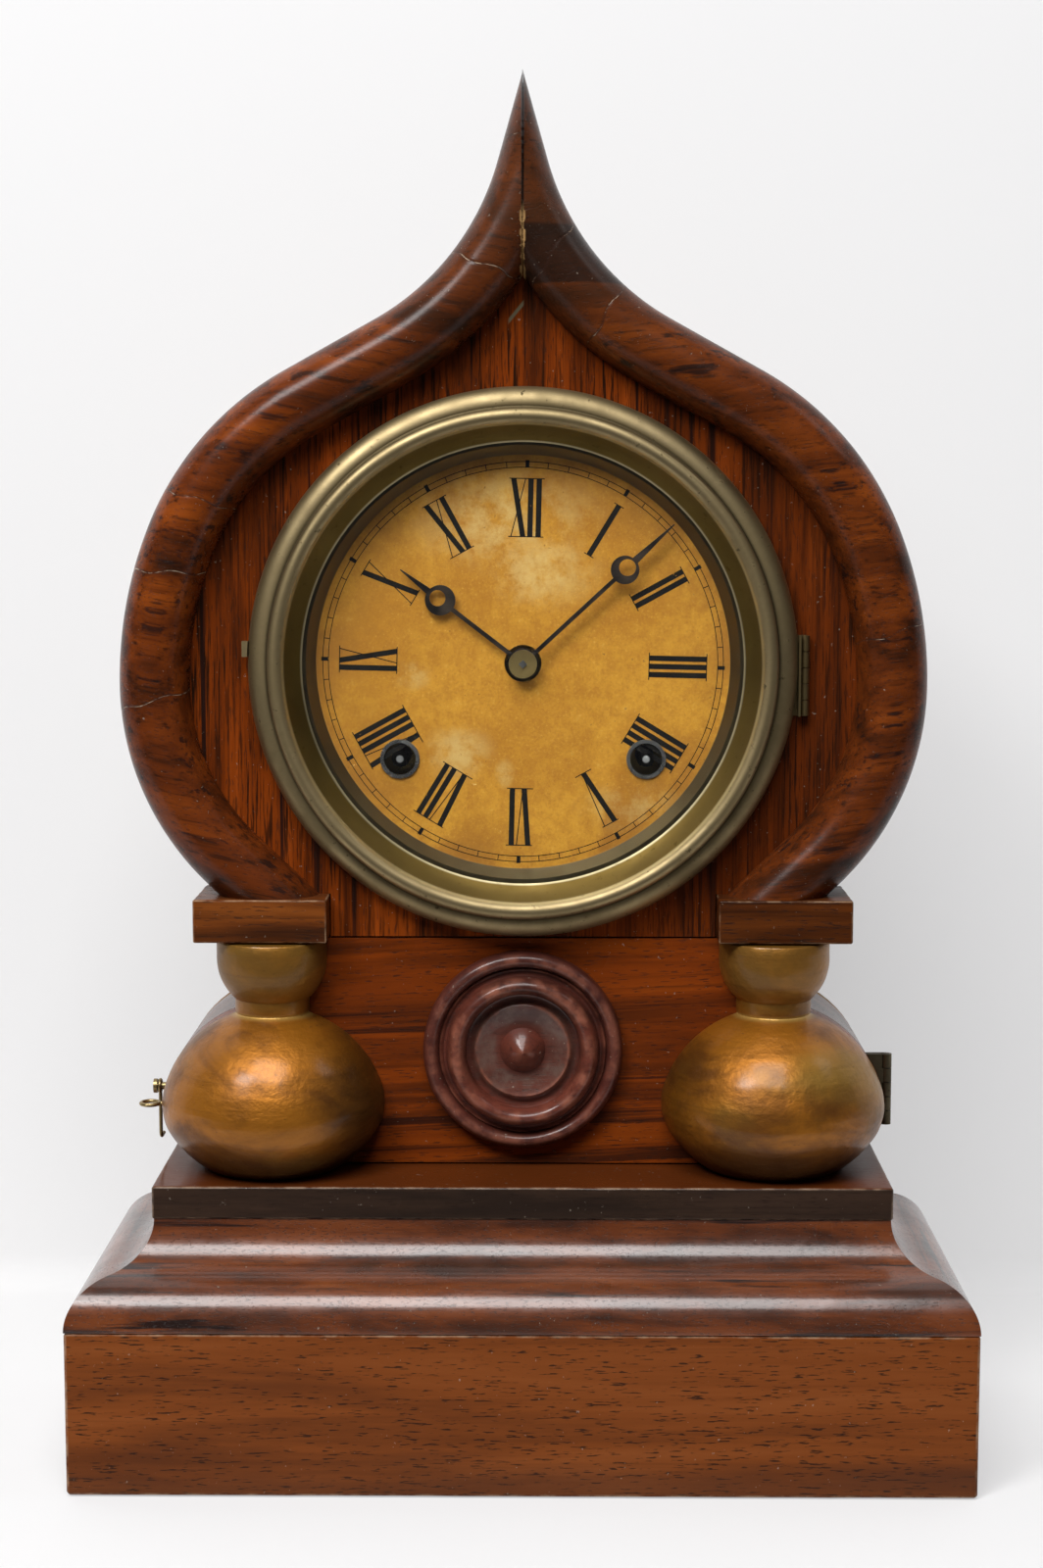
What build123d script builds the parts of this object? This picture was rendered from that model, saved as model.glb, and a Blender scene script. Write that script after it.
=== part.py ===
from build123d import *
import math
import os

os.makedirs("parts", exist_ok=True)

# Base box, ogee moulding and platform
base_width = 285.4
base_depth = 110.0
base_height = 52.5
base_board = 14.0
bottom_board_thickness = 6.0
ogee_height = 29.5
ogee_run = 25.0
ogee_seat = 8.0
platform_lip = 0.6
platform_height = 10.6

# Case depth and joints
case_depth = 57.0
panel_thickness = 9.0
back_board_thickness = 6.0
door_gap = 0.6
fit_gap = 0.3
running_gap = 0.05
overrun = 20.0

# Gourd outline shared by the columns, the door and the lower case sides
gourd_centre = 82.0
bulb_radius = 36.5
bulb_upper_height = 31.8
bulb_lower_height = 27.5
bulb_side_share = 0.49
bulb_foot_cut = 6.3
neck_radius = 12.2
bowl_radius = 18.0
bowl_rise = 48.1
lip_height = 6.3
case_wall = 16.0

# Cap blocks under the feet of the onion moulding
cap_height = 14.0
cap_inner = 63.0
cap_outer = 106.0
cap_proud = 14.0
cap_depth = 33.0

# Onion outline, measured on the outer edge of the moulding
onion_half_width = 130.2
onion_widest_rise = 68.5
onion_lower_radius = 90.3
onion_upper_radius = 134.0
onion_shoulder_radius = 100.0
onion_hollow_radius = 81.8
onion_run = 33.4
foot_turn = 46.0
upper_turn = 22.0
shoulder_turn = 61.0
spire_lean = 16.0
moulding_width = 22.6
moulding_depth = 13.5
seam_gap = 0.2
case_inset = 1.0
side_thickness = 8.0

# Rosette on the door
rosette_radius = 32.6
rosette_rise = 39.0
rosette_edge = 1.5
rosette_rim_round = 5.5
rosette_quirk = 5.4
rosette_bead_inner = 19.4
rosette_bead_height = 9.0
rosette_dish_radius = 13.0
rosette_dish_floor = 3.0
rosette_boss_radius = 7.0
rosette_boss_height = 8.6
rosette_boss_foot = 4.0

# Door hinge, screw eye and hook
door_hinge_rise = 11.6
door_hinge_length = 24.0
door_hinge_leaf = 14.0
door_leaf_thickness = 1.0
door_knuckle_radius = 1.7
door_pin_radius = 0.9
knuckle_count = 5
eye_rise = 20.8
eye_ring_radius = 3.0
eye_wire = 0.65
eye_shank = 9.0
eye_from_face = 2.0
hook_length = 17.5
hook_wire = 0.6
hook_bend = 2.0
hook_tip = 4.0
hook_lift = 1.7
hook_screw_radius = 1.3
hook_screw_depth = 9.0
hook_head_radius = 2.4
hook_head_height = 1.2

# Dial pan, grommets and bezel
dial_rise = 75.1
dial_depth = 3.0
pan_sheet = 0.8
dial_radius = 67.0
dial_rim_radius = 70.0
pan_flange_radius = 79.0
panel_hole_radius = 71.5
dial_centre_hole = 6.0
grommet_hole = 5.2
grommet_wall = 0.6
grommet_flange = 6.4
grommet_height = 0.6
grommet_tail = 0.6
bezel_radius = 88.5
bezel_depth = 13.0
bezel_edge = 1.3
flange_round = 5.6
bead_outer_radius = 81.6
bead_radius = 2.6
sight_radius = 70.8
sight_edge = 0.5
glass_radius = 73.2
glass_thickness = 1.8
glass_back = 2.4
bezel_pocket_inner = 75.0
bezel_pocket_outer = 86.7
bezel_pocket_depth = 2.9
bezel_hinge_drop = 3.6
bezel_hinge_length = 26.0
bezel_knuckle_radius = 1.5
bezel_pin_radius = 0.8
bezel_leaf_thickness = 0.7
bezel_leaf_reach = 7.0
bezel_leaf_height = 3.2
catch_width = 5.0
catch_height = 3.0
catch_reach = 1.8
catch_drop = 5.0

# Hands
hand_sheet = 0.5
hour_hand_front = 2.1
minute_hand_front = 3.8
minute_hand_length = 66.0
minute_ring_at = 44.6
minute_ring_radius = 4.6
minute_ring_hole = 2.7
minute_hub_radius = 4.0
hour_hand_length = 49.7
hour_ring_at = 33.6
hour_ring_radius = 4.9
hour_ring_hole = 2.6
hour_hub_radius = 5.0
hand_blade_width = 1.4
hand_shoulder_width = 2.9
hand_tip_width = 0.4
ring_hole_shift = 1.1
minute_hand_angle = 47.3
hour_hand_angle = 307.5
bush_radius = 4.6
bush_height = 0.9
arbor_end = 0.7
square_side = 2.0

# Movement plates and pillars
plate_thickness = 1.5
front_plate_depth = 19.0
plate_space = 20.0
plate_half_width = 71.0
plate_above = 54.4
plate_below = 63.6
plate_corner = 8.0
pillar_radius = 3.5
pillar_neck = 2.2
pillar_head_height = 1.6
pillar_upper_x = 62.0
pillar_lower_x = 65.0
pillar_upper_rise = 48.0
pillar_lower_drop = 57.6
pillar_nut_radius = 3.6

# Wheels, given as teeth and tooth module
arbor_radius = 0.9
pivot_radius = 0.6
wheel_thickness = 1.2
wheel_rim_teeth = 2.6
hub_radius = 3.2
spoke_width = 2.4
spoke_count = 4
shroud_thickness = 0.6
addendum_share = 0.8
dedendum_share = 1.15
tooth_root_share = 0.27
tooth_tip_share = 0.10
pin_radius_share = 0.55
shroud_share = 0.85
great_teeth = 60
great_module = 0.95
great_thickness = 2.0
great_pinion_teeth = 10
second_teeth = 48
centre_pinion_teeth = 24
second_module = 0.7
centre_teeth = 60
centre_module = 0.6
third_pinion_teeth = 6
third_teeth = 66
third_module = 0.5
escape_pinion_teeth = 6
escape_teeth = 38
escape_radius = 12.5
escape_tooth_depth = 2.0
escape_lean_share = 0.45
cannon_teeth = 12
minute_teeth = 36
cannon_module = 0.5
minute_pinion_teeth = 10
hour_teeth = 40
hour_pipe_radius = 3.0
centre_arbor_radius = 1.5
minute_stud_radius = 1.0
strike_angle = 75.0
fly_pinion_teeth = 6
lift_pin_count = 8
lift_pin_radius = 0.7
lift_pin_length = 2.4
lift_pin_circle = 11.5
fly_width = 20.0
fly_sheet = 0.4

# Depths of the wheels, measured back from the front plate
hour_wheel_depth = 0.5
cannon_depth = 2.3
centre_pinion_depth = 4.5
centre_wheel_depth = 6.5
great_depth = 1.3
ratchet_depth = 3.7
third_wheel_depth = 9.5
escape_depth = 2.5
fly_depth = 11.0
fly_length = 8.0
spring_depth = 8.5
spring_length = 11.0

# Winding arbors, ratchets and mainsprings
winding_x = 40.0
winding_drop = 31.1
winding_radius = 3.0
winding_square = 4.2
winding_recess = 0.4
ratchet_teeth = 18
ratchet_radius = 10.5
ratchet_tooth_depth = 1.5
ratchet_thickness = 1.8
click_radius = 1.8
click_reach = 6.0
click_width = 2.2
great_hub_radius = 6.0
spring_inner_radius = 4.0
spring_step = 2.0
spring_sheet = 0.7
spring_half_turn_count = 10

# Escapement, pendulum, gong and hammer
pendulum_x = 11.0
verge_rise = 45.4
escape_drop = 18.5
verge_arm = 13.2
verge_width = 2.4
pallet_length = 4.0
pallet_gap = 1.3
crutch_wire = 0.6
crutch_fork = 0.8
crutch_collet = 1.6
crutch_length = 34.0
crutch_front = 1.4
pendulum_front = 4.0
suspension_rise = 2.4
suspension_height = 6.0
suspension_width = 5.0
ribbon_length = 13.0
ribbon_width = 3.0
ribbon_sheet = 0.3
rod_radius = 0.8
bob_radius = 18.0
bob_half_thickness = 4.5
bob_drop = 181.0
bob_edge = 0.6
nut_height = 3.0
nut_radius = 2.6
nut_tail = 1.2
gong_rise = 39.7
gong_wire = 1.1
gong_inner_radius = 9.0
gong_step = 2.6
gong_half_turn_count = 8
gong_stand_off = 8.0
gong_stand_radius = 13.0
gong_stand_height = 4.0
gong_boss_radius = 5.0
hammer_x = 58.0
hammer_rise = 8.0
hammer_stand_off = 6.8
hammer_wire = 0.8
hammer_head_radius = 4.0
hammer_head_length = 9.0
hammer_gap = 1.0
hammer_angle = 128.0
hammer_tail = 14.5

# Levels and depths that follow from the sizes
front_y = -base_depth / 2
back_y = base_depth / 2
face_y = back_y - case_depth
panel_back = face_y + panel_thickness
case_front = panel_back + door_gap
board_front = back_y - back_board_thickness
gong_y = board_front - gong_stand_off
hammer_y = board_front - hammer_stand_off
platform_bottom = base_height + ogee_height
platform_top = platform_bottom + platform_height
platform_half = base_width / 2 - ogee_run + platform_lip
platform_front = front_y + ogee_run - platform_lip
bulb_z = platform_top + bulb_lower_height - bulb_foot_cut
bowl_top = bulb_z + bowl_rise
door_bottom = platform_top + door_gap
door_top = bowl_top + lip_height
cap_bottom = door_top + door_gap
cap_back = face_y - cap_proud + cap_depth
onion_foot = cap_bottom + cap_height
onion_widest = onion_foot + onion_widest_rise
dial_z = onion_foot + dial_rise
dial_face = face_y + dial_depth
front_plate = face_y + front_plate_depth
inner_front = front_plate + plate_thickness
inner_back = inner_front + plate_space
back_plate_end = inner_back + plate_thickness
sin = lambda degrees: math.sin(math.radians(degrees))
cos = lambda degrees: math.cos(math.radians(degrees))


# Shapes drawn as seen from the front and carried back
def front_plane(y):
    """A drawing plane at depth y, with x to the right and z up."""
    return Plane(origin=(0, y, 0), x_dir=(1, 0, 0), z_dir=(0, -1, 0))


def prism(face, y_from, y_to):
    """Carry a face drawn as seen from the front back from one depth to another."""
    return extrude(front_plane(y_to) * face, amount=y_to - y_from)


def disc(x, z, radius, y_from, y_to):
    """A round bar along the depth, centred at x and z."""
    return prism(Pos(x, z) * Circle(radius), y_from, y_to)


def block(x_from, x_to, y_from, y_to, z_from, z_to):
    """A square block between two corners."""
    middle = Pos((x_from + x_to) / 2, (y_from + y_to) / 2, (z_from + z_to) / 2)
    return middle * Box(x_to - x_from, y_to - y_from, z_to - z_from)


def turned(edges, x, z):
    """Turn a profile, drawn as radius and depth, about the depth axis at x and z."""
    return revolve(Pos(x, 0, z) * make_face(edges), Axis((x, 0, z), (0, 1, 0)))


def outline(points):
    """Edges of a closed outline through points."""
    return Polyline(*points, close=True).edges()


def crown(radius, rise, distance):
    """Height of a shallow dome of one radius and rise, at a distance from its axis."""
    sphere = (radius ** 2 + rise ** 2) / (2 * rise)
    return math.sqrt(sphere ** 2 - distance ** 2) - sphere + rise


def mirrored(shape):
    """The same piece on the other side of the clock."""
    return mirror(shape, about=Plane.YZ)


# Base box
def base_boards():
    half = base_width / 2
    front = block(-half, half, front_y, front_y + base_board, 0, base_height)
    right = block(half - base_board, half, front_y + base_board, back_y, 0, base_height)
    bottom = block(base_board - half, half - base_board, front_y + base_board, board_front,
                   0, bottom_board_thickness)
    return {
        "base_front_board": front,
        "base_right_board": right,
        "base_left_board": mirrored(right),
        "base_bottom_board": bottom,
    }


# Ogee moulding: a hollow over a round, each turning through the same angle
def ogee_section():
    """The ogee's section, drawn as distance in from the base's face and height."""
    turn = 2 * math.degrees(math.atan(ogee_run / ogee_height))
    radius = ogee_run / 2 / (1 - cos(turn))
    deep = ogee_run + ogee_seat
    rounded = CenterArc((radius, 0), radius, 180, -turn)
    hollow = CenterArc((ogee_run - radius, ogee_height), radius, -turn, turn)
    return [rounded, hollow] + Polyline(
        hollow @ 1, (deep, ogee_height), (deep, 0), (0, 0)).edges()


def ogee_moulding():
    half = base_width / 2
    deep = ogee_run + ogee_seat
    section = make_face(ogee_section())
    along_x = Plane(origin=(-half, front_y, base_height), x_dir=(0, 1, 0), z_dir=(1, 0, 0))
    front_run = extrude(along_x * section, amount=base_width)
    along_y = Plane(origin=(half, front_y, base_height), x_dir=(-1, 0, 0), z_dir=(0, 1, 0))
    side_run = extrude(along_y * section, amount=base_depth)
    front_foot = Polyline((-half, front_y), (half, front_y), (half - deep, front_y + deep),
                          (deep - half, front_y + deep), close=True)
    side_foot = Polyline((half, front_y), (half, back_y), (half - deep, back_y),
                         (half - deep, front_y + deep), close=True)
    level = Pos(0, 0, base_height)
    front = front_run & extrude(level * make_face(front_foot), amount=ogee_height)
    right = side_run & extrude(level * make_face(side_foot), amount=ogee_height)
    return {
        "base_moulding_front": front,
        "base_moulding_right": right,
        "base_moulding_left": mirrored(right),
    }


# Gourd outline: bulb, neck and bowl, as radius and height
def bulb_half(half_height):
    """One half of the bulb as two arcs that run into each other: the side arc's radius and centre,
    the pole arc's radius and how far its centre lies past the middle, and the turn where they meet."""
    side = bulb_radius * bulb_side_share
    centre = bulb_radius - side
    pole = (centre**2 + half_height**2 - side**2) / (2 * (half_height - side))
    drop = pole - half_height
    return side, centre, pole, drop, math.degrees(math.atan2(drop, centre))


def gourd_edges(bottom, top):
    """Half outline of the gourd between two heights, closed on its axis."""
    side, centre, pole, drop, turn = bulb_half(bulb_lower_height)
    foot_angle = math.degrees(math.asin((bulb_z + drop - bottom) / pole))
    foot = CenterArc((0, bulb_z + drop), pole, -foot_angle, foot_angle - turn)
    lower = CenterArc((centre, bulb_z), side, -turn, turn)
    side, centre, pole, drop, turn = bulb_half(bulb_upper_height)
    neck_angle = math.degrees(math.acos(neck_radius / pole))
    upper = CenterArc((centre, bulb_z), side, 0, turn)
    shoulder = CenterArc((0, bulb_z - drop), pole, turn, neck_angle - turn)
    bowl_angle = math.degrees(math.acos(neck_radius / bowl_radius))
    bowl = CenterArc((0, bowl_top), bowl_radius, -bowl_angle, bowl_angle)
    neck = Line(shoulder @ 1, bowl @ 0)
    close = Polyline(bowl @ 1, (bowl_radius, top), (0, top), (0, bottom), foot @ 0)
    return [foot, lower, upper, shoulder, neck, bowl] + close.edges()


def bulb_reach(height):
    """Radius of the bulb at a height near its widest."""
    side, centre, pole, drop, turn = bulb_half(bulb_upper_height if height > bulb_z else bulb_lower_height)
    return centre + math.sqrt(side**2 - (height - bulb_z) ** 2)


def lobe(bottom, top):
    """The right gourd lobe as a face, from its axis outwards."""
    return Pos(gourd_centre, 0) * make_face(gourd_edges(bottom, top))


def rectangle(x_from, x_to, z_from, z_to):
    """A rectangle between two corners, as seen from the front."""
    return Pos((x_from + x_to) / 2, (z_from + z_to) / 2) * Rectangle(x_to - x_from, z_to - z_from)


# Onion outline
def onion_edges(inset, foot_extra, spire_extra):
    """Right half of the onion outline, moved in by inset: foot run, lower arc, upper arc,
    shoulder arc, run, hollow arc and spire. The extras carry it past its foot and its tip."""
    widest = onion_half_width - inset
    lower = onion_lower_radius - inset
    upper = onion_upper_radius - inset
    shoulder = onion_shoulder_radius - inset
    hollow = onion_hollow_radius + inset
    lower_arc = CenterArc((widest - lower, onion_widest), lower, -foot_turn, foot_turn)
    foot_start = lower_arc @ 0
    foot_drop = foot_start.Y - onion_foot + foot_extra
    foot = Line((foot_start.X - foot_drop * math.tan(math.radians(foot_turn)), foot_start.Y - foot_drop),
                foot_start)
    upper_arc = CenterArc((widest - upper, onion_widest), upper, 0, upper_turn)
    bend = upper_arc @ 1
    shoulder_centre = (bend.X - shoulder * cos(upper_turn), bend.Y - shoulder * sin(upper_turn))
    shoulder_arc = CenterArc(shoulder_centre, shoulder, upper_turn, shoulder_turn - upper_turn)
    start = shoulder_arc @ 1
    end = (start.X - onion_run * sin(shoulder_turn), start.Y + onion_run * cos(shoulder_turn))
    run = Line(start, end)
    hollow_centre = (end[0] + hollow * cos(shoulder_turn), end[1] + hollow * sin(shoulder_turn))
    hollow_arc = CenterArc(hollow_centre, hollow, 180 + shoulder_turn, spire_lean - shoulder_turn)
    neck = hollow_arc @ 1
    reach = neck.X + spire_extra
    spire = Line(neck, (neck.X - reach, neck.Y + reach / math.tan(math.radians(spire_lean))))
    return [foot, lower_arc, upper_arc, shoulder_arc, run, hollow_arc, spire]


def half_onion(inset):
    """The right half of the onion as a face."""
    edges = onion_edges(inset, 0, 0)
    foot = edges[0] @ 0
    tip = edges[-1] @ 1
    return make_face(edges + Polyline(tip, (0, foot.Y), foot).edges())


def case_sides():
    inner = gourd_centre - case_wall
    bowl_side = gourd_centre + bowl_radius
    lower = lobe(platform_top, cap_bottom) + rectangle(inner, gourd_centre, platform_top, cap_bottom)
    right = prism(lower, case_front, board_front)
    right += block(inner, bowl_side - case_inset, cap_back, board_front, cap_bottom, onion_foot)
    hinge_room = door_hinge_room(case_front - fit_gap, case_front + door_leaf_thickness)
    eye_z = platform_top + eye_rise + hook_lift
    screw_x = hook_seat()
    hole_length = hook_screw_depth + overrun
    hole = Pos(-screw_x + hook_screw_depth - hole_length / 2, hook_y(), eye_z) * Rot(0, 90, 0) * Cylinder(
        hook_screw_radius, hole_length)
    upper = half_onion(case_inset) - half_onion(case_inset + side_thickness)
    upper -= rectangle(-overrun, seam_gap / 2, onion_foot, onion_foot + onion_half_width * 3)
    shell = prism(upper, panel_back, board_front)
    return {
        "case_side_right": right - hinge_room,
        "case_side_left": mirrored(right) - hole,
        "onion_side_right": shell,
        "onion_side_left": mirrored(shell),
    }


def back_board():
    """One board cut to the onion, the gourds and the inside of the base."""
    base_half = base_width / 2 - base_board - fit_gap
    waist = base_width / 2 - ogee_run - ogee_seat - fit_gap
    half = rectangle(0, base_half, 0, base_height - fit_gap)
    half += rectangle(0, waist, 0, bulb_z)
    half += lobe(platform_top + fit_gap, onion_foot) + rectangle(0, gourd_centre, platform_top, onion_foot)
    half += half_onion(case_inset)
    return {"back_board": prism(half + mirror(half, about=Plane.YZ), board_front, back_y)}


def platform():
    return {"platform_board": block(-platform_half, platform_half, platform_front, board_front,
                                    platform_bottom, platform_top)}


def dial_panel():
    """Upper front panel: the onion down to the caps, then a tongue between them."""
    upper = half_onion(case_inset)
    face = upper + mirror(upper, about=Plane.YZ)
    tongue = cap_inner - fit_gap
    face += rectangle(-tongue, tongue, cap_bottom, dial_z)
    face -= Pos(0, dial_z) * Circle(panel_hole_radius)
    return {"dial_panel": prism(face, face_y, panel_back)}


def onion_mouldings():
    """Half-round moulding carried along the onion outline and cut off at its foot and seam."""
    path = front_plane(face_y) * Wire(onion_edges(moulding_width / 2, moulding_width, moulding_width))
    along = path % 0
    section_plane = Plane(origin=path @ 0, x_dir=(-along.Z, 0, along.X), z_dir=along)
    half = moulding_width / 2
    dome = EllipticalCenterArc((0, 0), half, moulding_depth, start_angle=0, arc_size=180)
    section = make_face([dome, Line(dome @ 1, dome @ 0)])
    right = sweep(section_plane * section, path=path)
    right &= block(seam_gap / 2, onion_half_width + overrun, face_y - moulding_depth - overrun, face_y,
                   onion_foot, onion_foot + onion_half_width * 3)
    return {"onion_moulding_right": right, "onion_moulding_left": mirrored(right)}


def cap_blocks():
    """Each cap lies over a column, the door's end and the case side, and holds up the panel."""
    right = block(cap_inner, cap_outer, face_y - cap_proud, cap_back, cap_bottom, onion_foot)
    return {"cap_block_right": right, "cap_block_left": mirrored(right)}


# Lower door
def door_hinge_room(y_from, y_to):
    """Space let into the wood for one leaf of the door hinge."""
    x_to = door_pin_x()
    z_from = platform_top + door_hinge_rise
    return block(x_to - door_hinge_leaf - fit_gap, x_to + overrun, y_from, y_to,
                 z_from - fit_gap, z_from + door_hinge_length + fit_gap)


def door_pin_x():
    return gourd_centre + bulb_radius + fit_gap + door_knuckle_radius


def hinge(x, y, z_from, length, knuckle, pin, plate_one, plate_two):
    """Knuckles in turn on two leaves. Leaf one has the first, third and fifth and holds the pin."""
    pitch = length / knuckle_count
    leaves = [plate_one, plate_two]
    for step in range(knuckle_count):
        middle = Pos(x, y, z_from + pitch * (step + 0.5))
        room = middle * Cylinder(knuckle + fit_gap, pitch)
        own = middle * Cylinder(knuckle, pitch - fit_gap)
        leaves[1 - step % 2] -= room
        leaves[step % 2] += own
    bore = Pos(x, y, z_from + length / 2) * Cylinder(pin + running_gap, length + overrun)
    rod = Pos(x, y, z_from + length / 2) * Cylinder(pin, length)
    return leaves[0] + rod, leaves[1] - bore


def door():
    half = lobe(door_bottom, door_top) + rectangle(0, gourd_centre, door_bottom, door_top)
    panel = prism(half + mirror(half, about=Plane.YZ), face_y, panel_back)
    panel -= door_hinge_room(panel_back - door_leaf_thickness, panel_back + fit_gap)
    column_face = front_plane(face_y) * lobe(door_bottom, door_top)
    axis = Axis((gourd_centre, face_y, 0), (0, 0, 1))
    right = revolve(column_face, axis, revolution_arc=-180)
    eye_z = platform_top + eye_rise
    eye_y = face_y - eye_from_face
    tip_x = gourd_centre + bulb_reach(eye_z)
    drill = Cylinder(eye_wire, eye_shank + overrun)
    drill = Pos(-tip_x + eye_shank / 2, eye_y, eye_z) * Rot(0, 90, 0) * drill
    shank_end = tip_x + eye_wire + fit_gap
    ring_x = shank_end + eye_ring_radius
    shank_length = shank_end - tip_x + eye_shank
    eye = Pos(-ring_x, eye_y, eye_z) * Torus(eye_ring_radius, eye_wire)
    eye += Pos(-shank_end + shank_length / 2, eye_y, eye_z) * Rot(0, 90, 0) * Cylinder(
        eye_wire - running_gap, shank_length)
    drill &= block(-tip_x - overrun, -tip_x + eye_shank, eye_y - overrun, eye_y + overrun,
                   eye_z - overrun, eye_z + overrun)
    return {
        "door_panel": panel,
        "door_column_right": right,
        "door_column_left": mirrored(right) - drill,
        "door_rosette": rosette(),
        "screw_eye": eye,
    }


def rosette():
    """Turned rosette: rounded rim, bead, dished ring and a domed boss."""
    def at(radius, height):
        return (radius, face_y - height)
    rim_radius = rosette_radius - rosette_rim_round
    rim = CenterArc(at(rim_radius, rosette_edge), rosette_rim_round, 0, -90)
    bead_from = rim_radius - rosette_edge / 2
    bead = ThreePointArc(at(bead_from, rosette_quirk),
                         at((bead_from + rosette_bead_inner) / 2, rosette_bead_height),
                         at(rosette_bead_inner, rosette_quirk))
    dish = ThreePointArc(at(rosette_bead_inner, rosette_quirk),
                         at(rosette_dish_radius, rosette_dish_floor),
                         at(rosette_boss_radius, rosette_boss_foot))
    boss_rise = rosette_boss_height - rosette_boss_foot
    boss_side = rosette_boss_foot + crown(rosette_boss_radius, boss_rise, rosette_boss_radius / 2)
    boss_round = ThreePointArc(at(rosette_boss_radius, rosette_boss_foot),
                               at(rosette_boss_radius / 2, boss_side), at(0, rosette_boss_height))
    edges = [Line(at(0, 0), at(rosette_radius, 0)),
             Line(at(rosette_radius, 0), at(rosette_radius, rosette_edge)),
             rim,
             Line(rim @ 1, at(bead_from, rosette_quirk)),
             bead, dish, boss_round,
             Line(at(0, rosette_boss_height), at(0, 0))]
    return turned(edges, 0, platform_top + rosette_rise)


def door_hinge():
    x = door_pin_x()
    y = (panel_back + case_front) / 2
    z_from = platform_top + door_hinge_rise
    z_to = z_from + door_hinge_length
    case_leaf = block(x - door_hinge_leaf, x, case_front, case_front + door_leaf_thickness, z_from, z_to)
    door_leaf = block(x - door_hinge_leaf, x, panel_back - door_leaf_thickness, panel_back, z_from, z_to)
    return hinge(x, y, z_from, door_hinge_length, door_knuckle_radius, door_pin_radius, case_leaf, door_leaf)


def hook_y():
    return face_y - eye_from_face + hook_length


def hook_seat():
    """How far out the case side stands where the hook's screw goes in."""
    return gourd_centre + bulb_reach(platform_top + eye_rise + hook_lift)


def hook_parts():
    """A wire hook, hanging from a round-head screw in the case side, its tip turned back."""
    z = platform_top + eye_rise + hook_lift
    y = hook_y()
    ring_x = gourd_centre + bulb_reach(platform_top + eye_rise) + eye_ring_radius + fit_gap
    ring_radius = hook_screw_radius + running_gap + hook_wire
    low = z - hook_length
    path = Wire([
        Line((-ring_x, y, z - ring_radius), (-ring_x, y, low + hook_bend)),
        ThreePointArc((-ring_x, y, low + hook_bend),
                      (-ring_x, y + hook_bend * (1 - cos(45)), low + hook_bend * (1 - sin(45))),
                      (-ring_x, y + hook_bend, low)),
        Line((-ring_x, y + hook_bend, low), (-ring_x, y + hook_bend + hook_tip, low)),
    ])
    wire = sweep(Plane(origin=path @ 0, z_dir=path % 0) * Circle(hook_wire), path=path)
    ring = Pos(-ring_x, y, z) * Rot(0, 90, 0) * Torus(ring_radius, hook_wire)
    screw_from = ring_x + hook_wire + fit_gap
    screw_to = hook_seat() - hook_screw_depth
    shank = Pos(-(screw_from + screw_to) / 2, y, z) * Rot(0, 90, 0) * Cylinder(
        hook_screw_radius - running_gap, screw_from - screw_to)
    head = Pos(-screw_from - hook_head_height / 2, y, z) * Rot(0, 90, 0) * Cylinder(
        hook_head_radius, hook_head_height)
    return {"hook": wire + ring, "hook_screw": shank + head}


# Dial and bezel
def dial():
    rim_front = face_y - pan_sheet
    lean = dial_rim_radius - dial_radius
    pan = turned(outline([
        (dial_centre_hole, dial_face), (dial_radius, dial_face), (dial_rim_radius, rim_front),
        (pan_flange_radius, rim_front), (pan_flange_radius, face_y), (dial_radius + lean, face_y),
        (dial_radius + pan_sheet, dial_face + pan_sheet), (dial_centre_hole, dial_face + pan_sheet)]),
        0, dial_z)
    sleeve = grommet_hole + grommet_wall
    grommets = []
    for x in (-winding_x, winding_x):
        z = dial_z - winding_drop
        pan -= disc(x, z, sleeve + running_gap, face_y, dial_face + overrun)
        eyelet = disc(x, z, grommet_flange, dial_face - grommet_height, dial_face)
        eyelet += disc(x, z, sleeve, dial_face, dial_face + pan_sheet + grommet_tail)
        grommets.append(eyelet - disc(x, z, grommet_hole, face_y, dial_face + overrun))
    return {"dial_pan": pan, "winding_grommets": Compound(children=grommets)}


def bezel_back():
    return face_y - pan_sheet - fit_gap


def bezel():
    """Spun ring: rounded flange, quirk, bead, sloping reveal and a seat for the glass."""
    back = bezel_back()
    front = back - bezel_depth
    flange_y = back - bezel_edge
    bead_y = front + bead_radius
    glass_from = back - glass_back - glass_thickness
    flange = CenterArc((bezel_radius - flange_round, flange_y), flange_round, 0, -90)
    bead = CenterArc((bead_outer_radius - bead_radius, bead_y), bead_radius, 0, -180)
    seat = glass_radius + fit_gap
    pocket = back - bezel_pocket_depth
    path = Polyline(bead @ 1, (sight_radius, glass_from - sight_edge), (sight_radius, glass_from),
                    (seat, glass_from), (seat, back), (bezel_pocket_inner, back),
                    (bezel_pocket_inner, pocket), (bezel_pocket_outer, pocket),
                    (bezel_pocket_outer, back), (bezel_radius, back), flange @ 0)
    quirk = Polyline(flange @ 1, (bead_outer_radius, (flange @ 1).Y), bead @ 0)
    ring = turned([flange, bead] + path.edges() + quirk.edges(), 0, dial_z)
    glass = disc(0, dial_z, glass_radius, glass_from, glass_from + glass_thickness)
    catch_z = dial_z + catch_drop
    rim_x = math.sqrt(bezel_radius ** 2 - catch_drop ** 2)
    catch = block(-rim_x - catch_reach, overrun - rim_x, flange_y - catch_height, flange_y,
                  catch_z - catch_width / 2, catch_z + catch_width / 2)
    catch -= disc(0, dial_z, bezel_radius, front, back)
    return {"bezel_ring": ring, "bezel_glass": glass, "bezel_catch": catch}


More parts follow.
